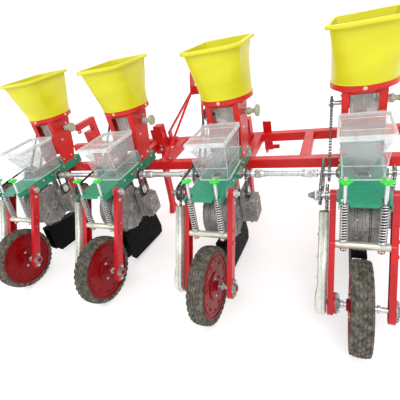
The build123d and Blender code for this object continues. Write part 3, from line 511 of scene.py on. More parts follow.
# across: (first edge, second edge, share of the pitch, skew in pitches, tip radius at each edge, stagger)
LUG_ROWS = [(-0.035, -0.0265, 0.6, -0.16, 0.1672, 0.1712, 0.0),
    (-0.024, -0.0135, 0.66, 0.26, 0.1718, 0.1732, 0.5), (-0.011, -0.0012, 0.62, -0.3, 0.1736, 0.1739, 0.1),
    (0.0012, 0.011, 0.62, 0.3, 0.1739, 0.1736, 0.6), (0.0135, 0.024, 0.66, -0.26, 0.1732, 0.1718, 0.1),
    (0.0265, 0.035, 0.6, 0.16, 0.1712, 0.1672, 0.5)]


def add_lug(bm, place, start, width, skew, edges, tips):
    corners = []
    for across, tip, lean in ((edges[0], tips[0], 0.0), (edges[1], tips[1], skew)):
        foot = 0.1615 if abs(across) > 0.03 else 0.1665
        for radius, shrink in ((foot, -0.0), (tip, 0.1)):
            low = start + lean + width * shrink
            high = start + lean + width * (1 - shrink)
            side = across - copysign(0.0006, across - sum(edges) / 2) if radius == tip else across
            for t in (low, high):
                corners.append(bm.verts.new(place @ polar(radius, t, side)))
    a = corners
    for quad in ((0, 1, 3, 2), (4, 6, 7, 5), (0, 4, 5, 1), (2, 3, 7, 6), (0, 2, 6, 4), (1, 5, 7, 3)):
        bm.faces.new([a[k] for k in quad])


def tyre(n):
    bm = bmesh.new()
    place = toward(at(n, AXLE), RIGHT)
    lathe(bm, CARCASS, place, 96, close=True)
    pitch = tau / LUGS
    for first, second, share, skew, tip_a, tip_b, stagger in LUG_ROWS:
        for k in range(LUGS):
            start = (k + stagger) * pitch
            add_lug(bm, place, start, share * pitch, skew * pitch, (first, second), (tip_a, tip_b))
    for side in (-1, 1):
        for radius in (0.1515, 0.156):
            lathe(bm, bead(radius, side * 0.0345, 0.0007, 6, side * 0.0009), place, 72, close=True)
    obj = finish_mesh("tread_tyre_%d" % n, bm, TYRE, "wheel_%d" % n, smooth=28)
    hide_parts("tyre_%d" % n)


# ---- wheel trim
def wheel_trim(n):
    bm = bmesh.new()
    centre = at(n, AXLE)
    for side in (-1, 1):
        place = toward(centre, (side, 0, 0))
        lathe(bm, bead(0.1415, 0.0312, 0.0032, 10, 0.003), place, 96, close=True)
        step = mm(118, 28.8, 119.5, 31.8, 124, 32.6, 128.5, 31.8, 130, 28.8)
        lathe(bm, step, place, 96)
        dish = mm(24, 28.5, 24, 34, 30, 35, 47, 33.5, 56, 32.5, 58.5, 28.5)
        lathe(bm, dish, place, 64)
        hub = mm(10.2, 46.8, 20.5, 46.8, 22.8, 45.5, 22.8, 38, 28, 34.5)
        lathe(bm, hub, place, 40)
        for k in range(5):
            t = tau * k / 5 + 0.3
            spot = centre + Vector((side * 0.0335, 0.042 * cos(t), 0.042 * sin(t)))
            bolt(bm, spot, (side, 0, 0), 0.0052, 1 if k % 2 else 0)
        for k in range(6):
            t = tau * k / 6
            spot = centre + Vector((side * 0.0288, 0.1095 * cos(t), 0.1095 * sin(t)))
            bolt(bm, spot, (side, 0, 0), 0.0036)
        collar = mm(10.1, 56, 14.2, 56, 15, 56.8, 15, 64, 14.2, 64.8, 10.1, 64.8)
        lathe(bm, collar, place, 30, 1)
        lathe(bm, mm(10.3, 44, 10.3, 89), place, 28, 1)
    finish_mesh("wheel_trim_%d" % n, bm, [WHEEL_RED, ZINC], "wheel_%d" % n, smooth=32)


# ---- chains and sprockets
LINK = 0.0127
ROLLER_R = 0.0032
SEAT = 0.0041                # from a sprocket's body radius to the chain's pitch line


def chain_path(a, ra, b, rb):
    """Points, one per link, round two circles in the (y, z) plane, evenly spaced."""
    ra, rb = ra + SEAT, rb + SEAT

    def rim(centre, radius, t):
        return (centre[0] + radius * cos(t), centre[1] + radius * sin(t))

    def between(p, q, share):
        return (p[0] + (q[0] - p[0]) * share, p[1] + (q[1] - p[1]) * share)

    gap = hypot(b[0] - a[0], b[1] - a[1])
    base = atan2(b[1] - a[1], b[0] - a[0])
    lean = acos((ra - rb) / gap)
    run = sqrt(gap * gap - (ra - rb) ** 2)
    arc_a, arc_b = ra * (tau - 2 * lean), rb * 2 * lean
    total = arc_a + arc_b + 2 * run
    count = 2 * round(total / LINK / 2)

    def along(s):
        if s < arc_a:
            return rim(a, ra, base + lean + s / ra)
        s -= arc_a
        if s < run:
            return between(rim(a, ra, base - lean), rim(b, rb, base - lean), s / run)
        s -= run
        if s < arc_b:
            return rim(b, rb, base - lean + s / rb)
        s -= arc_b
        return between(rim(b, rb, base + lean), rim(a, ra, base + lean), s / run)

    return [along(total * k / count) for k in range(count)]


def add_chain(bm, x, a, ra, b, rb):
    pts = chain_path(a, ra, b, rb)
    for k, p in enumerate(pts):
        q = pts[(k + 1) % len(pts)]
        angle = atan2(q[1] - p[1], q[0] - p[0])
        length = hypot(q[0] - p[0], q[1] - p[1])
        place = crosswise((x, p[0], p[1]), angle)
        outer = k % 2
        near, far = (0.0036, 0.0048) if outer else (0.0023, 0.0035)
        plate = obround_points(0.0039, length, 5)
        for side in (-1, 1):
            prism(bm, plate, place, side * near, side * far, 0)
        lathe(bm, [(ROLLER_R, -0.0023), (ROLLER_R, 0.0023)], place, 9, 1)
        lathe(bm, mm(0, -5.6, 1.6, -5.6, 1.6, 5.6, 0, 5.6), place, 8, 0)


def add_teeth(bm, x, centre, body_r, index=0, bore=0.0, holes=0):
    """A toothed disc: rollers sit SEAT above the body radius."""
    pitch_r = body_r + SEAT
    count = round(tau * pitch_r / LINK)
    outline = []
    for k in range(count):
        t = tau * k / count
        step = tau / count
        for share, radius in ((-0.22, pitch_r - 0.0034), (0.0, pitch_r - 0.004), (0.22, pitch_r - 0.0034),
                (0.4, pitch_r + 0.0022), (0.5, pitch_r + 0.0034), (0.6, pitch_r + 0.0022)):
            outline.append((radius * cos(t + share * step), radius * sin(t + share * step)))
    place = toward((x, centre[0], centre[1]), RIGHT)
    prism(bm, outline, place, -0.0016, 0.0016, index)
    for side in (-1, 1):
        face = toward((x, centre[0], centre[1]), (side, 0, 0))
        rim = [(body_r * 0.82, 0.0029), (body_r * 0.84, 0.0042), (body_r * 0.94, 0.0042),
            (body_r * 0.96, 0.0029)]
        lathe(bm, rim, face, 40, index)
        for k in range(holes):
            t = tau * k / holes
            spot = (x + side * 0.0029, centre[0] + body_r * 0.58 * cos(t), centre[1] + body_r * 0.58 * sin(t))
            cup = [(body_r * 0.17, 0.0), (body_r * 0.155, 0.0012), (body_r * 0.13, 0.0012),
                (body_r * 0.12, 0.0)]
            lathe(bm, cup, toward(spot, (side, 0, 0)), 20, index)


JACK_R, SMALL_R, BIG_R, THIRD_R, FERT_R, INPUT_R = 0.036, 0.03, 0.055, 0.03, 0.024, 0.022
CASE_X, SECOND_X, INPUT_X = -0.122, -0.146, 0.116


def yz(v):
    return (v.y, v.z)


def chains_and_sprockets():
    bm = bmesh.new()
    for n in ROWS:
        x = ROW_X[n]
        add_chain(bm, x + SECOND_X, yz(PIVOT), SMALL_R, yz(DRIVE), BIG_R)
        add_chain(bm, x + CASE_X, yz(DRIVE), THIRD_R, yz(FERT), FERT_R)
        add_chain(bm, x + INPUT_X, yz(DRIVE), INPUT_R, yz(INPUT), INPUT_R)
    links = finish_mesh("drive_chain_links", bm, [CHAIN, CHAIN_BRIGHT], "frame", smooth=30)
    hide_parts("drive_chains")
    sets = {
        "jackshafts": [(CASE_X, PIVOT, JACK_R, 0), (SECOND_X, PIVOT, SMALL_R, 0)],
        "drive_shaft": [(SECOND_X, DRIVE, BIG_R, 6), (CASE_X, DRIVE, THIRD_R, 0), (INPUT_X, DRIVE, INPUT_R,
                0)],
        "fert_shafts": [(CASE_X, FERT, FERT_R, 5)],
        "meter_inputs": [(INPUT_X, INPUT, INPUT_R, 0)],
    }
    for body, wheels in sets.items():
        bm = bmesh.new()
        for n in ROWS:
            for offset, centre, radius, holes in wheels:
                add_teeth(bm, ROW_X[n] + offset, yz(centre), radius, holes=holes)
        finish_mesh("sprocket_teeth_" + body, bm, ZINC if body != "fert_shafts" else CHAIN_BRIGHT, body,
            smooth=25)
    for n in ROWS:
        bm = bmesh.new()
        add_chain(bm, ROW_X[n] + CASE_X, yz(AXLE), JACK_R, yz(PIVOT), JACK_R)
        finish_mesh("wheel_chain_links_%d" % n, bm, [CHAIN, CHAIN_BRIGHT], "arm_%d" % n, smooth=30)
        bm = bmesh.new()
        add_teeth(bm, ROW_X[n] + CASE_X, yz(AXLE), JACK_R)
        finish_mesh("wheel_sprocket_teeth_%d" % n, bm, ZINC, "wheel_%d" % n, smooth=25)


# ---- chain cases
CASE_MID = -0.131
CASE_END = 0.06


def chain_case(n):
    """Two pressed halves, round-shouldered, joined along a seam, open towards the pivot."""
    bm = bmesh.new()
    turn = atan2(ARM_AXIS.z, ARM_AXIS.y)
    place = crosswise(at(n, PIVOT, CASE_MID), turn)
    section = mm(49.8, 0, 49.8, 0.9, 47.4, 1.2, 47, 7, 45.2, 12, 41.5, 15.4, 36, 16.8, 12, 16.9)
    stops = [CASE_END] + [ARM_LEN - back for back in (0.085, 0.065, 0.05, 0.035, 0.018)]

    def swell(u):
        """How far the outer half bulges over the wheel's sprocket."""
        share = max(0.0, min(1.0, (u - stops[1]) / 0.055))
        return 0.0075 * share * share * (3 - 2 * share)

    for side in (-1, 1):
        rings = []
        for radius, depth in section:
            line = [(u, -radius) for u in stops]
            for k in range(29):
                t = -pi / 2 + pi * k / 28
                line.append((ARM_LEN + radius * cos(t), radius * sin(t)))
            line += [(u, radius) for u in reversed(stops)]
            share = depth / section[-1][1]
            out = [depth + (swell(u) * share if side < 0 else 0.0) for u, v in line]
            rings.append([bm.verts.new(place @ Vector((u, v, side * d))) for (u, v), d in zip(line, out)])
        for a, b in zip(rings[:-1], rings[1:]):
            for k in range(len(a) - 1):
                bm.faces.new([a[k], a[k + 1], b[k + 1], b[k]])
        last = rings[-1]
        count = len(last)
        for k in range((count - 1) // 2):
            corners = [last[k], last[k + 1], last[count - 2 - k], last[count - 1 - k]]
            bm.faces.new(corners[:2] + corners[3:] if corners[1] is corners[2] else corners)
    for along in (0.15, 0.235, 0.315):
        spot = place @ Vector((along, 0.0, -0.0168))
        bolt(bm, spot, (-1, 0, 0), 0.006, 1)
    for along, across in ((0.13, 0.0486), (0.24, 0.0486), (0.35, 0.0486), (0.13, -0.0486), (0.24, -0.0486),
            (0.35, -0.0486)):
        spot = place @ Vector((along, across, 0.0))
        lathe(bm, mm(0, 2.2, 2.6, 1.8, 2.6, -1.8, 0, -2.2), toward(spot, RIGHT), 10, 1)
    obj = finish_mesh("chain_case_pressing_%d" % n, bm, [GALVANISED, ZINC], "arm_%d" % n,
        smooth=45)
    mod = obj.modifiers.new("sheet", "SOLIDIFY")
    mod.thickness = 0.0012
    mod.offset = -1
    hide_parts("chain_case_%d" % n)


# ---- springs, rods and handwheels
def rod_point(n, side, along):
    """A point on the adjuster rod, measured from the handwheel's centre."""
    return Vector((ROW_X[n] + side * ROD_X, GRIP.y, GRIP.z)) + ROD_AXIS * along


FOOT_Y, FOOT_Z = 0.108, 0.375       # the cross tube under the rods, in unit coordinates
ROD_FULL = hypot(GRIP.y - FOOT_Y + Y_MID, GRIP.z - FOOT_Z)     # from its centre to the handwheel's
SPRING_LOW = -ROD_FULL + 0.0175
SPRING_HIGH = -0.083
COILS, COIL_R, WIRE_R = 15, 0.0133, 0.0022
DEAD_TURN = 0.0042           # rise of each closed end turn


def bar(bm, pts, radius, sides=8, index=0):
    """A round bar through points, its section carried along without twist."""
    rings = []
    x_dir = toward(pts[0], pts[1] - pts[0]).to_3x3() @ Vector(RIGHT)
    for k, p in enumerate(pts):
        ahead = (pts[min(k + 1, len(pts) - 1)] - pts[max(k - 1, 0)]).normalized()
        x_dir = (x_dir - ahead * x_dir.dot(ahead)).normalized()
        y_dir = ahead.cross(x_dir)
        ring = []
        for s in range(sides):
            t = tau * s / sides
            ring.append(bm.verts.new(p + (x_dir * cos(t) + y_dir * sin(t)) * radius))
        rings.append(ring)
    skin(bm, rings, index)
    for ring in (rings[0], rings[-1]):
        bm.faces.new(ring).material_index = index


def springs(n):
    for side, letter in ((-1, "L"), (1, "R")):
        bm = bmesh.new()
        base = toward(rod_point(n, side, SPRING_LOW), ROD_AXIS)
        length = SPRING_HIGH - SPRING_LOW
        pts = []
        steps = 18 * COILS
        for k in range(steps + 1):
            turn = COILS * k / steps
            if turn < 1:
                rise = DEAD_TURN * turn
            elif turn > COILS - 1:
                rise = length - DEAD_TURN * (COILS - turn)
            else:
                rise = DEAD_TURN + (length - 2 * DEAD_TURN) * (turn - 1) / (COILS - 2)
            t = tau * turn
            pts.append(base @ polar(COIL_R, t, rise))
        bar(bm, pts, WIRE_R, 8)
        coil = finish_mesh("press_spring_%d%s" % (n, letter), bm, SPRING_STEEL, "arm_%d" % n,
            smooth=60)
        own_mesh(coil)
    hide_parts("springs_%d" % n)


THREAD = 0.003              # the threads' pitch
NUT_R = 0.0123


def rods(n):
    bm = bmesh.new()
    for side in (-1, 1):
        low = toward(rod_point(n, side, -ROD_FULL - 0.022), ROD_AXIS)
        length = ROD_FULL + 0.022 + 0.013
        profile = []
        turns = int(length / THREAD)
        for k in range(turns):
            z = k * THREAD
            profile += [(0.0066, z), (0.0072, z + THREAD * 0.35), (0.0072, z + THREAD * 0.55),
                (0.0066, z + THREAD * 0.9)]
        # The thread from the rod's foot up to the spring's top gets the near-black steel, painted shade
        # between the coils. Above the spring the thread is bright steel.
        shaded_points = sum(1 for radius, z in profile if z < length + SPRING_HIGH - 0.013)
        lathe(bm, profile[:shaded_points + 1], low, 20, 1)
        lathe(bm, profile[shaded_points:], low, 20)
        cap = toward(rod_point(n, side, 0.0132), ROD_AXIS)
        lathe(bm, mm(7, 0, 5.6, 1.6, 0, 1.6), cap, 20)
        seat = toward(rod_point(n, side, SPRING_LOW - 0.0042), ROD_AXIS)
        lathe(bm, mm(7, 0, 16.5, 0, 17, 0.6, 16.5, 2, 7, 2), seat, 32)
    finish_mesh("adjuster_threads_%d" % n, bm, [SPRING_STEEL, ROD_SHADE_STEEL], "arm_%d" % n, smooth=50)
    bm = bmesh.new()
    across = toward((ROW_X[n], GRIP.y - ROD_AXIS.y * ROD_FULL, GRIP.z - ROD_AXIS.z * ROD_FULL), RIGHT)
    sleeve = mm(14.3, -89.7, 14.8, -89, 14.3, -88, 14.3, 88, 14.8, 89, 14.3, 89.7)
    lathe(bm, sleeve, across, 40)
    for side in (-1, 1):
        for fold in (-1, 1):
            spot = rod_point(n, side, -ROD_FULL + fold * 0.0135)
            lathe(bm, mm(7, -0.4, 10.5, -0.4, 11.5, 2, 7, 3), toward(spot, ROD_AXIS * fold), 24, 0)
        nut = toward(rod_point(n, side, -ROD_FULL - 0.024), ROD_AXIS)
        prism(bm, polygon(6, NUT_R), nut, -0.0003, 0.0083, inset=0.0008)
    finish_mesh("cross_tube_%d" % n, bm, PALE_TUBE, "arm_%d" % n, smooth=50)


def handwheels(n):
    for side, letter in ((-1, "L"), (1, "R")):
        bm = bmesh.new()
        place = toward(rod_point(n, side, 0.0), ROD_AXIS)
        outline = []
        for k in range(96):
            t = tau * k / 96
            lobe = 0.5 + 0.5 * cos(6 * t)
            reach = 0.016 + 0.0066 * lobe ** 0.6
            outline.append((reach * cos(t), reach * sin(t)))
        prism(bm, outline, place, -0.0042, 0.0042, inset=0.0014)
        skirt = mm(6.8, -11.2, 9.6, -11.2, 10.4, -10.4, 11.2, -4, 6.8, -4)
        lathe(bm, skirt, place, 32)
        boss = mm(6.8, 4, 11.8, 4, 11.2, 5.8, 9.8, 6.4, 6.8, 6.4)
        lathe(bm, boss, place, 32)
        cup = mm(3.2, 0, 2.8, 0.7, 2.1, 0.7, 1.7, 0)
        for tip in circle(6, 0.0176, 0.0041):
            lathe(bm, cup, toward(place @ tip, ROD_AXIS), 16)
        obj = finish_mesh("lobed_handwheel_%d%s" % (n, letter), bm, LIME, "grip_%d%s" % (n, letter),
            smooth=38)
        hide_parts("handwheel_%d%s" % (n, letter))


# ---- fertilizer metering shafts and knobs
KNOB_X = 0.1


def fert_shafts():
    bm = bmesh.new()
    for n in ROWS:
        x = ROW_X[n]
        place = toward(at(n, FERT), RIGHT)
        shaft = [(0.0, -0.136), (0.0092, -0.136), (0.01, -0.1352), (0.01, KNOB_X), (0.0, KNOB_X)]
        lathe(bm, shaft, place, 28)
        wheel = [(0.01, -0.131), (0.016, -0.131), (0.016, -0.125), (FERT_R, -0.125), (FERT_R, -0.119),
            (0.016, -0.119), (0.016, -0.113), (0.01, -0.113)]
        lathe(bm, wheel, place, 40)
        flutes = []
        for k in range(96):
            t = tau * k / 96
            radius = 0.0275 - 0.0045 * (0.5 + 0.5 * cos(8 * t))
            flutes.append((radius * cos(t), radius * sin(t)))
        prism(bm, flutes, place, -0.034, 0.034, 1)
        prism(bm, polygon(6, 0.019), place, KNOB_X, KNOB_X + 0.014, 1, inset=0.0015)
        prism(bm, polygon(6, 0.0165, pi / 6), place, KNOB_X - 0.01, KNOB_X + 0.0005, 1, inset=0.001)
        neck = mm(0, 113.8, 15, 113.8, 13.5, 117, 11, 119.5, 10.6, 129, 12.5, 133.5, 18.5, 136.5, 25.5, 138.5,
            27, 140.5, 27, 152, 25.8, 154.5, 23, 155, 21.5, 153.5, 0, 153)
        lathe(bm, neck, place, 48, 1)
        for spot in circle(24, 0.0268, 0.141):
            lathe(bm, mm(1.4, 0, 1.4, 10.5), toward(place @ spot, RIGHT), 8, 1)
    obj = finish_mesh("fertilizer_shafts_and_knobs", bm, [ZINC, KNOB], "fert_shafts", smooth=35)
    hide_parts("fert_meter_shafts")


# ---- fertilizer bins and their cups
BIN_Y, BIN_FOOT, BIN_TOP = 0.623, 0.841, 1.067
RIM = mm(-4, -3, -3, 0.6, 1.5, 2.2, 8, 2, 12.8, 0.4, 15, -3.5, 15.2, -9.8, 14, -12.8, 12.2, -12.6, 11.2, -11,
    10.5, -6.2, 2, -6)


def bin_path(n):
    """The bin's top outline: wide arcs behind, small ones in front."""
    x, y = ROW_X[n], BIN_Y - Y_MID
    rear, front = (0.064, -0.081, 0.076), (0.106, 0.142, 0.011)
    return round_path([(x + front[0], y + front[1], front[2]), (x - front[0], y + front[1], front[2]),
        (x - rear[0], y + rear[1], rear[2]), (x + rear[0], y + rear[1], rear[2])], 12)


def bin_trim():
    bm = bmesh.new()
    for n in ROWS:
        sweep(bm, bin_path(n), RIM, BIN_TOP)
        place = toward(unit(n, 0, BIN_Y, BIN_FOOT), (0, 0, 1))
        lathe(bm, mm(125.5, 0.5, 129, 0.5, 129.6, 1.8, 129, 3.2, 126.2, 4.2), place, 72)
    finish_mesh("bin_rims", bm, YELLOW, "frame", smooth=50)
    bm = bmesh.new()
    for n in ROWS:
        place = toward(unit(n, 0, BIN_Y, 0.82), (0, 0, 1))
        for height in (0.0, 0.0205):
            lathe(bm, bead(0.1292, height, 0.001), place, 72, close=True)
        for angle in (-90, 0, 90, 180):
            t = radians(angle)
            way = Vector((cos(t), sin(t), 0))
            bolt(bm, unit(n, 0.129 * way.x, BIN_Y + 0.129 * way.y, 0.831), way, 0.0058, 1)
        for side in (-1, 1):
            for y, z in ((0.508, 0.575), (0.575, 0.575), (0.56, 0.69), (0.64, 0.77)):
                bolt(bm, unit(n, side * 0.082, y, z), (side, 0, 0), 0.0055, 2)
            path = [unit(n, side * 0.0822, y, z) for y, z in ((0.497, 0.5525), (0.52, 0.553), (0.56, 0.5526),
                (0.592, 0.5525))]
            bar(bm, path, 0.0021, 6)
            path = [unit(n, side * 0.0812, 0.5245, z) for z in (0.604, 0.66, 0.72, 0.812)]
            bar(bm, path, 0.0017, 6)
    finish_mesh("stand_trim", bm, [STAND_RED, BRASS, ZINC], "frame", smooth=40)


# ---- seed boxes
BEAD = mm(0.4, -4, 3, -3.6, 3.6, -1, 3, 0.6, -3, 0.6, -3.2, -2)
LINE = mm(0, -1.2, 1.1, 0, 0, 1.2, -0.6, 0)


def funnel(name, n, levels, material, thickness):
    """A four-sided hopper of clear sheet through levels of (half width, rear, front, height)."""
    bm = bmesh.new()
    rings = []
    for half, rear, front, height in levels:
        corners = ((-half, rear), (half, rear), (half, front), (-half, front))
        rings.append([bm.verts.new(unit(n, x, y, height)) for x, y in corners])
    skin(bm, rings)
    mod = finish_mesh(name, bm, material, "frame", smooth=20).modifiers.new("sheet", "SOLIDIFY")
    mod.thickness = thickness


def seed_box(n):
    bm = bmesh.new()
    sweep(bm, box_path(n, 0.088, 0.25, 0.48, 0.014), BEAD, 0.735)
    sweep(bm, box_path(n, 0.0782, 0.2678, 0.4752, 0.014), LINE, 0.615)
    sweep(bm, box_path(n, 0.07, 0.278, 0.472, 0.014), mm(0, 0, 6.5, 0, 6.5, 2.2, 0, 3), 0.5522)
    for side in (-1, 1):
        for rear in (True, False):
            top = unit(n, side * 0.0842, 0.2538 if rear else 0.4762, 0.733)
            low = unit(n, side * 0.0742, 0.2718 if rear else 0.4712, 0.616)
            foot = unit(n, side * 0.0642, 0.2838 if rear else 0.4662, 0.554)
            bar(bm, [top, low, foot], 0.0011, 6)
    finish_mesh("seed_box_edges_%d" % n, bm, CLEAR_EDGE, "frame", smooth=45)
    levels = [(0.0795, 0.266, 0.473, 0.7), (0.05, 0.285, 0.44, 0.64), (0.024, 0.302, 0.358, 0.59)]
    funnel("seed_funnel_%d" % n, n, levels, FUNNEL_CLEAR, 0.0012)
    bm = bmesh.new()
    path = box_path(n, 0.0925, 0.2395, 0.48, 0.008)
    sweep(bm, path, mm(0, -14.5, 1, -14, 1.2, 1.4, -0.4, 3.4, -6, 3.6, -7, 2.8), 0.739)
    for y in (0.3, 0.42):
        bar(bm, [unit(n, x, y, 0.7418) for x in (-0.078, 0.0, 0.078)], 0.0014, 6)
    prism(bm, mm(-20, 0, 20, 0, 16, 12, -16, 12), Matrix.Translation(
        unit(n, 0, 0.2392, 0.725)) @ Matrix.Rotation(pi / 2, 4, "X"), 0.0, 0.0035, 0, inset=0.0007)
    finish_mesh("lid_border_%d" % n, bm, LID_EDGE, "lid_%d" % n, smooth=40)


# ---- seed meters
def seed_meter(n):
    bm = bmesh.new()
    centre = unit(n, 0, METER.y + Y_MID, METER.z)
    right = toward(centre, RIGHT)
    face = 0.075
    for radius, height, thick in ((0.113, face, 0.0035), (0.082, face, 0.0028), (0.05, face, 0.003)):
        lathe(bm, bead(radius, height, thick), right, 72, close=True)
    lathe(bm, mm(12.5, 84, 12.5, 89.5, 24, 89.5, 27.5, 87, 29, 75), right, 40)
    rib = mm(28, -2.2, 112, -2.8, 112, 2.8, 28, 2.2)
    for k in range(9):
        turned = right @ Matrix.Rotation(tau * k / 9 + 0.2, 4, "Z")
        prism(bm, rib, turned, face - 0.001, face + 0.0042, inset=0.0008)
    for spot in circle(9, 0.1125, face + 0.003, 0.4):
        bolt(bm, right @ spot, RIGHT, 0.0048, 1)
    for x, radius, width, index in ((-0.04, 0.1215, 0.004, 3), (-0.0215, 0.1245, 0.003, 0),
            (-0.012, 0.1232, 0.003, 3), (0.006, 0.1222, 0.005, 0), (0.025, 0.1208, 0.0014, 2),
            (0.031, 0.1208, 0.0014, 2), (0.045, 0.1225, 0.0035, 0), (0.062, 0.1215, 0.003, 0)):
        band = [(0.118, x - width), (radius - 0.0008, x - width), (radius, x - width + 0.0008),
            (radius, x + width - 0.0008), (radius - 0.0008, x + width), (0.118, x + width)]
        lathe(bm, band, right, 84, index)
    for k in range(10):
        t = tau * k / 10 + 0.1
        spot = right @ polar(0.1205, t, -0.0168)
        way = right.to_3x3() @ Vector((cos(t), sin(t), 0))
        bolt(bm, spot, way, 0.004, 1, washer=False)
        lump = mm(0, 0, 8.5, 0, 7.8, 4, 4.5, 6, 0, 6.4)
        spot = right @ polar(0.119, t + 0.3, 0.054)
        lathe(bm, lump, toward(spot, way), 16)
    finish_mesh("seed_meter_casting_%d" % n, bm, [ALUMINIUM, ZINC, SEAM, SMOKE], "frame",
        smooth=38)
    bm = bmesh.new()
    left = toward(centre, (-1, 0, 0))
    cover = mm(119.5, 44.5, 119.5, 47.5, 112, 50, 100, 50, 96, 54, 70, 57.5, 30, 58, 28, 62, 11, 62, 11, 45)
    lathe(bm, cover, left, 72)
    for spot in circle(8, 0.106, 0.05):
        bolt(bm, left @ spot, (-1, 0, 0), 0.0045, 1)
    finish_mesh("seed_meter_cover_%d" % n, bm, [SMOKE, ZINC], "frame", smooth=38)
    levels = [(0.036, 0.246, 0.3045, 0.5475), (0.033, 0.252, 0.3045, 0.528), (0.017, 0.274, 0.3045, 0.486)]
    funnel("outlet_funnel_%d" % n, n, levels, OUTLET_CLEAR, 0.0014)
    gearbox(n)


def gearbox(n):
    """Cover, ribs and screws of the drive casting beside the seed meter."""
    bm = bmesh.new()
    cover = mm(352, 282, 434, 282, 438, 300, 438, 372, 424, 388, 362, 388, 350, 372, 350, 300)
    place = crosswise(unit(n, 0, 0, 0))
    prism(bm, cover, place, 0.1515, 0.157, inset=0.0014)
    flange = mm(340, 272, 444, 272, 450, 300, 446, 400, 340, 400, 334, 300)
    prism(bm, flange, place, 0.124, 0.13, inset=0.0012)
    boss = toward(unit(n, 0.156, 0.394, 0.336), RIGHT)
    lathe(bm, mm(0, 0, 26, 0, 25, 4, 18, 4.8, 16.5, 9, 8.5, 9.5, 8, 5, 0, 5), boss, 36)
    for y, z in ((0.36, 0.292), (0.428, 0.292), (0.43, 0.366), (0.372, 0.38), (0.358, 0.34)):
        bolt(bm, unit(n, 0.1568, y, z), RIGHT, 0.0046, 1)
    for k in range(4):
        height = 0.296 + 0.024 * k
        rib = [unit(n, x, 0.3445, height) for x in (0.106, 0.13, 0.15)]
        bar(bm, rib, 0.0024, 6)
    bush = toward(unit(n, 0.106, INPUT.y + Y_MID, INPUT.z), RIGHT)
    lathe(bm, mm(8.3, 0, 18, 0, 17.2, 2.6, 11, 3, 8.3, 3), bush, 28)
    for y, z in ((0.346, 0.436), (0.436, 0.436), (0.436, 0.404)):
        bolt(bm, unit(n, 0.106, y, z), RIGHT, 0.005, 1)
    finish_mesh("meter_gearbox_%d" % n, bm, [ALUMINIUM, ZINC], "frame", smooth=36)


# ---- fertilizer meter housings
def fert_meter(n):
    bm = bmesh.new()
    for y, way in ((0.5618, -1), (0.6762, 1)):
        for x0, x1, z0, z1 in ((-0.05, 0.06, 0.7, 0.708), (-0.05, 0.06, 0.788, 0.796),
                (-0.05, -0.043, 0.708, 0.788), (0.053, 0.06, 0.708, 0.788), (-0.002, 0.004, 0.708, 0.788)):
            low = unit(n, x0, min(y, y + way * 0.003), z0)
            high = unit(n, x1, max(y, y + way * 0.003), z1)
            slab(bm, low, high)
        for x, z in ((-0.046, 0.704), (0.056, 0.704), (-0.046, 0.792), (0.056, 0.792)):
            bolt(bm, unit(n, x, y + way * 0.003, z), (0, way, 0), 0.0042, 1)
    for x, way in ((-0.05, -1), (0.06, 1)):
        place = toward(unit(n, x, FERT.y + Y_MID, FERT.z), (way, 0, 0))
        lathe(bm, mm(10.4, 0, 10.4, 9, 17, 9, 19, 7, 26, 5, 26.5, 0), place, 36)
        for spot in circle(4, 0.0215, 0.0058, pi / 4):
            bolt(bm, place @ spot, (way, 0, 0), 0.0034, 1)
    finish_mesh("fert_meter_frame_%d" % n, bm, [METER_FRAME, ZINC], "frame", smooth=36,
        bevel=0.0008)


# ---- screws and small parts of the arms and trays
def arm_trim(n):
    bm = bmesh.new()
    for along in (0.04, 0.158, 0.212):
        bolt(bm, at(n, PIVOT, 0.1121) + ARM_AXIS * along, RIGHT, 0.0062)
    for side in (-1, 1):
        place = crosswise(at(n, AXLE, 0.112 if side > 0 else -0.084), atan2(ARM_AXIS.z, ARM_AXIS.y))
        prism(bm, obround_points(0.0114, 0.03, 10, -0.03), place, -0.0001, 0.0064, 2, inset=0.0008)
        body = mm(24.5, 0, 24.5, 5.2, 23.8, 6.5, 19.4, 6.8, 19.4, 14.8, 18, 16.4, 14, 16.6, 13.6, 14, 10.3,
            14)
        lathe(bm, body, place, 40, 2)
        for along in (-0.03, 0.03):
            bolt(bm, place @ Vector((along, 0, 0.0062)), RIGHT, 0.0084, 0, washer=False)
        nipple = toward(at(n, AXLE, side * 0.0785) + Vector((0, -0.006, 0.016)), (-side * 0.4, -0.4, 0.8))
        lathe(bm, mm(0, 0, 3, 0, 2.8, 6, 1.6, 7.5, 2.2, 9.5, 0, 10.5), nipple, 14, 1)
    lathe(bm, mm(17.2, 89.5, 19.6, 89.5, 20, 88.5, 17.2, 88), toward(at(n, PIVOT), RIGHT), 32, 0)
    finish_mesh("arm_screws_%d" % n, bm, [ZINC, BRASS, CAST], "arm_%d" % n, smooth=36)


def tray_trim():
    bm = bmesh.new()
    for n in ROWS:
        for side in (-1, 1):
            for y, z in ((0.372, 0.533), (0.434, 0.533), (0.3, 0.536), (0.48, 0.536), (0.598, 0.536)):
                bolt(bm, unit(n, side * 0.082, y, z), (side, 0, 0), 0.0052, 1 if y > 0.36 and y < 0.45 else 0)
            for y in (0.292, 0.458):
                bolt(bm, unit(n, side * 0.076, y, 0.552), (0, 0, 1), 0.0045)
            for y, z, reach in ((DRIVE.y + Y_MID, DRIVE.z, 0.096), (PIVOT.y + Y_MID, PIVOT.z, 0.089)):
                place = toward(unit(n, 0, y, z), (side, 0, 0))
                lathe(bm, [(0.0103, reach), (0.015, reach + 0.0003), (0.0165, reach - 0.003),
                    (0.0185, reach - 0.004), (0.019, 0.089), (0.024, 0.0892), (0.0246, 0.088),
                    (0.0246, 0.0822)], place, 36, 2)
    finish_mesh("tray_screws", bm, [ZINC, BRASS, CAST], "frame", smooth=36)


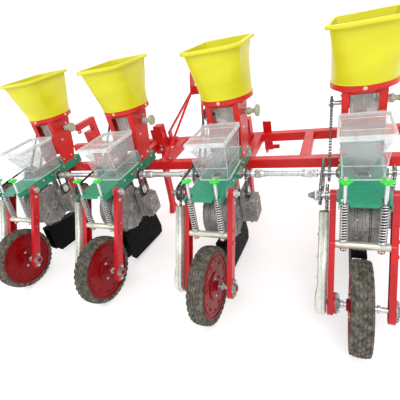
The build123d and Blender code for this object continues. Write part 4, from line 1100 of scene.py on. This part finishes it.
# ---- cardan joints of the drive shaft, jackshaft ends
def shaft_trim():
    bm = bmesh.new()
    for a, b in zip(ROWS[:-1], ROWS[1:]):
        for start, way in ((ROW_X[a] + 0.136, 1), (ROW_X[b] - 0.168, -1)):
            place = toward((start, DRIVE.y, DRIVE.z), (way, 0, 0))
            for reach in (0.0, 0.044):
                lathe(bm, [(0.01, reach - 0.001), (0.0176, reach - 0.001), (0.0184, reach + 0.001),
                    (0.0184, reach + 0.01), (0.0174, reach + 0.012), (0.0174, reach + 0.02),
                    (0.0155, reach + 0.0225)], place, 36, 0)
            cross = Vector((start + way * 0.033, DRIVE.y, DRIVE.z))
            for direction in ((0, 1, 0), (0, 0, 1), (0, -1, 0), (0, 0, -1)):
                cap = toward(cross + Vector(direction) * 0.0185, direction)
                lathe(bm, mm(0, 0, 6.5, 0, 6.5, 1.6, 4.8, 2.2, 4.6, 1.2, 0, 1.2), cap, 20, 1)
            pin = toward((start + way * 0.055, DRIVE.y, DRIVE.z + 0.0165), (0, 0, 1))
            lathe(bm, mm(0, 0, 3.2, 0, 3.2, 4.5, 0, 5), pin, 12, 1)
        tube = toward((ROW_X[a] + 0.136 + 0.066, DRIVE.y, DRIVE.z), RIGHT)
        for reach in (0.012, 0.08, 0.15):
            lathe(bm, bead(0.0142, reach, 0.0012), tube, 32, 0, close=True)
    finish_mesh("cardan_joints", bm, [ZINC, BRASS], "drive_shaft", smooth=38)
    bm = bmesh.new()
    for n in ROWS:
        place = toward(at(n, PIVOT), (-1, 0, 0))
        nut = mm(10.1, 156, 19, 156, 20.5, 159, 20.5, 164, 15, 170, 11.2, 171.5, 10.6, 179, 8.5, 180, 0, 180)
        lathe(bm, nut, place, 6, 0)
        cone = mm(10.6, 170, 13.5, 171.2, 11, 180, 6, 190, 0, 190.5)
        lathe(bm, cone, place, 28, 1)
    finish_mesh("jackshaft_ends", bm, [ZINC, CHAIN_BRIGHT], "jackshafts", smooth=34)


# ---- build everything
for n in ROWS:
    for make in (tyre, wheel_trim, chain_case, springs, rods, handwheels, arm_trim):
        make(n)
chains_and_sprockets()
fert_shafts()
bin_trim()
for make in (seed_box, seed_meter, fert_meter):
    for n in ROWS:
        make(n)
tray_trim()
shaft_trim()


# ---- camera, light and floor
CAMERA_AT = Vector((0.8226, -1.319, 1.209))
CAMERA_RIGHT = Vector((0.91317229, 0.35418683, -0.20166324))
CAMERA_DOWN = Vector((0.02614915, -0.54468336, -0.83823401))
CAMERA_FORWARD = Vector((-0.40673406, 0.76017875, -0.50665143))
LENS = 28.29


def place_camera():
    data = bpy.data.cameras.new("camera")
    data.lens = LENS
    data.sensor_width = 36.0
    data.clip_start = 0.02
    camera = bpy.data.objects.new("camera", data)
    turned = Matrix((CAMERA_RIGHT, -CAMERA_DOWN, -CAMERA_FORWARD)).transposed().to_4x4()
    camera.matrix_world = Matrix.Translation(CAMERA_AT) @ turned
    link(camera)
    bpy.context.scene.camera = camera


def area_light(name, place, target, size, power, colour=(1, 1, 1)):
    data = bpy.data.lights.new(name, "AREA")
    data.shape = "DISK"
    data.size = size
    data.energy = power
    data.color = colour
    lamp = bpy.data.objects.new(name, data)
    lamp.location = place
    lamp.rotation_euler = (Vector(target) - Vector(place)).to_track_quat("-Z", "Y").to_euler()
    link(lamp)


def studio():
    world = bpy.data.worlds.new("studio")
    world.use_nodes = True
    back = world.node_tree.nodes["Background"]
    back.inputs["Color"].default_value = (1.0, 1.0, 1.0, 1.0)
    back.inputs["Strength"].default_value = 1.02
    bpy.context.scene.world = world
    area_light("key", (1.4, -2.6, 3.6), (0, 0.1, 0.4), 2.2, 62)
    area_light("fill", (-3.2, -1.6, 2.2), (0, 0.1, 0.4), 2.4, 22)
    area_light("rim", (0.5, 3.4, 3.0), (0, 0.1, 0.5), 2.0, 26)
    bm = bmesh.new()
    slab(bm, (-40, -40, -0.02), (40, 40, -0.0005))
    mesh = bpy.data.meshes.new("floor")
    bm.to_mesh(mesh)
    bm.free()
    floor = bpy.data.objects.new("floor", mesh)
    link(floor)
    m = Nodes("pale_floor")
    m.colour(m.mix(m.noise(0.6, 2.0), (0.6, 0.6, 0.6), (0.62, 0.62, 0.62)))
    m.set(Roughness=0.9, Specular_IOR_Level=0.1, Emission_Color=(1.0, 1.0, 1.0, 1.0), Emission_Strength=0.5)
    mesh.materials.append(m.mat)
    bpy.context.scene.view_settings.view_transform = "Standard"


place_camera()
studio()
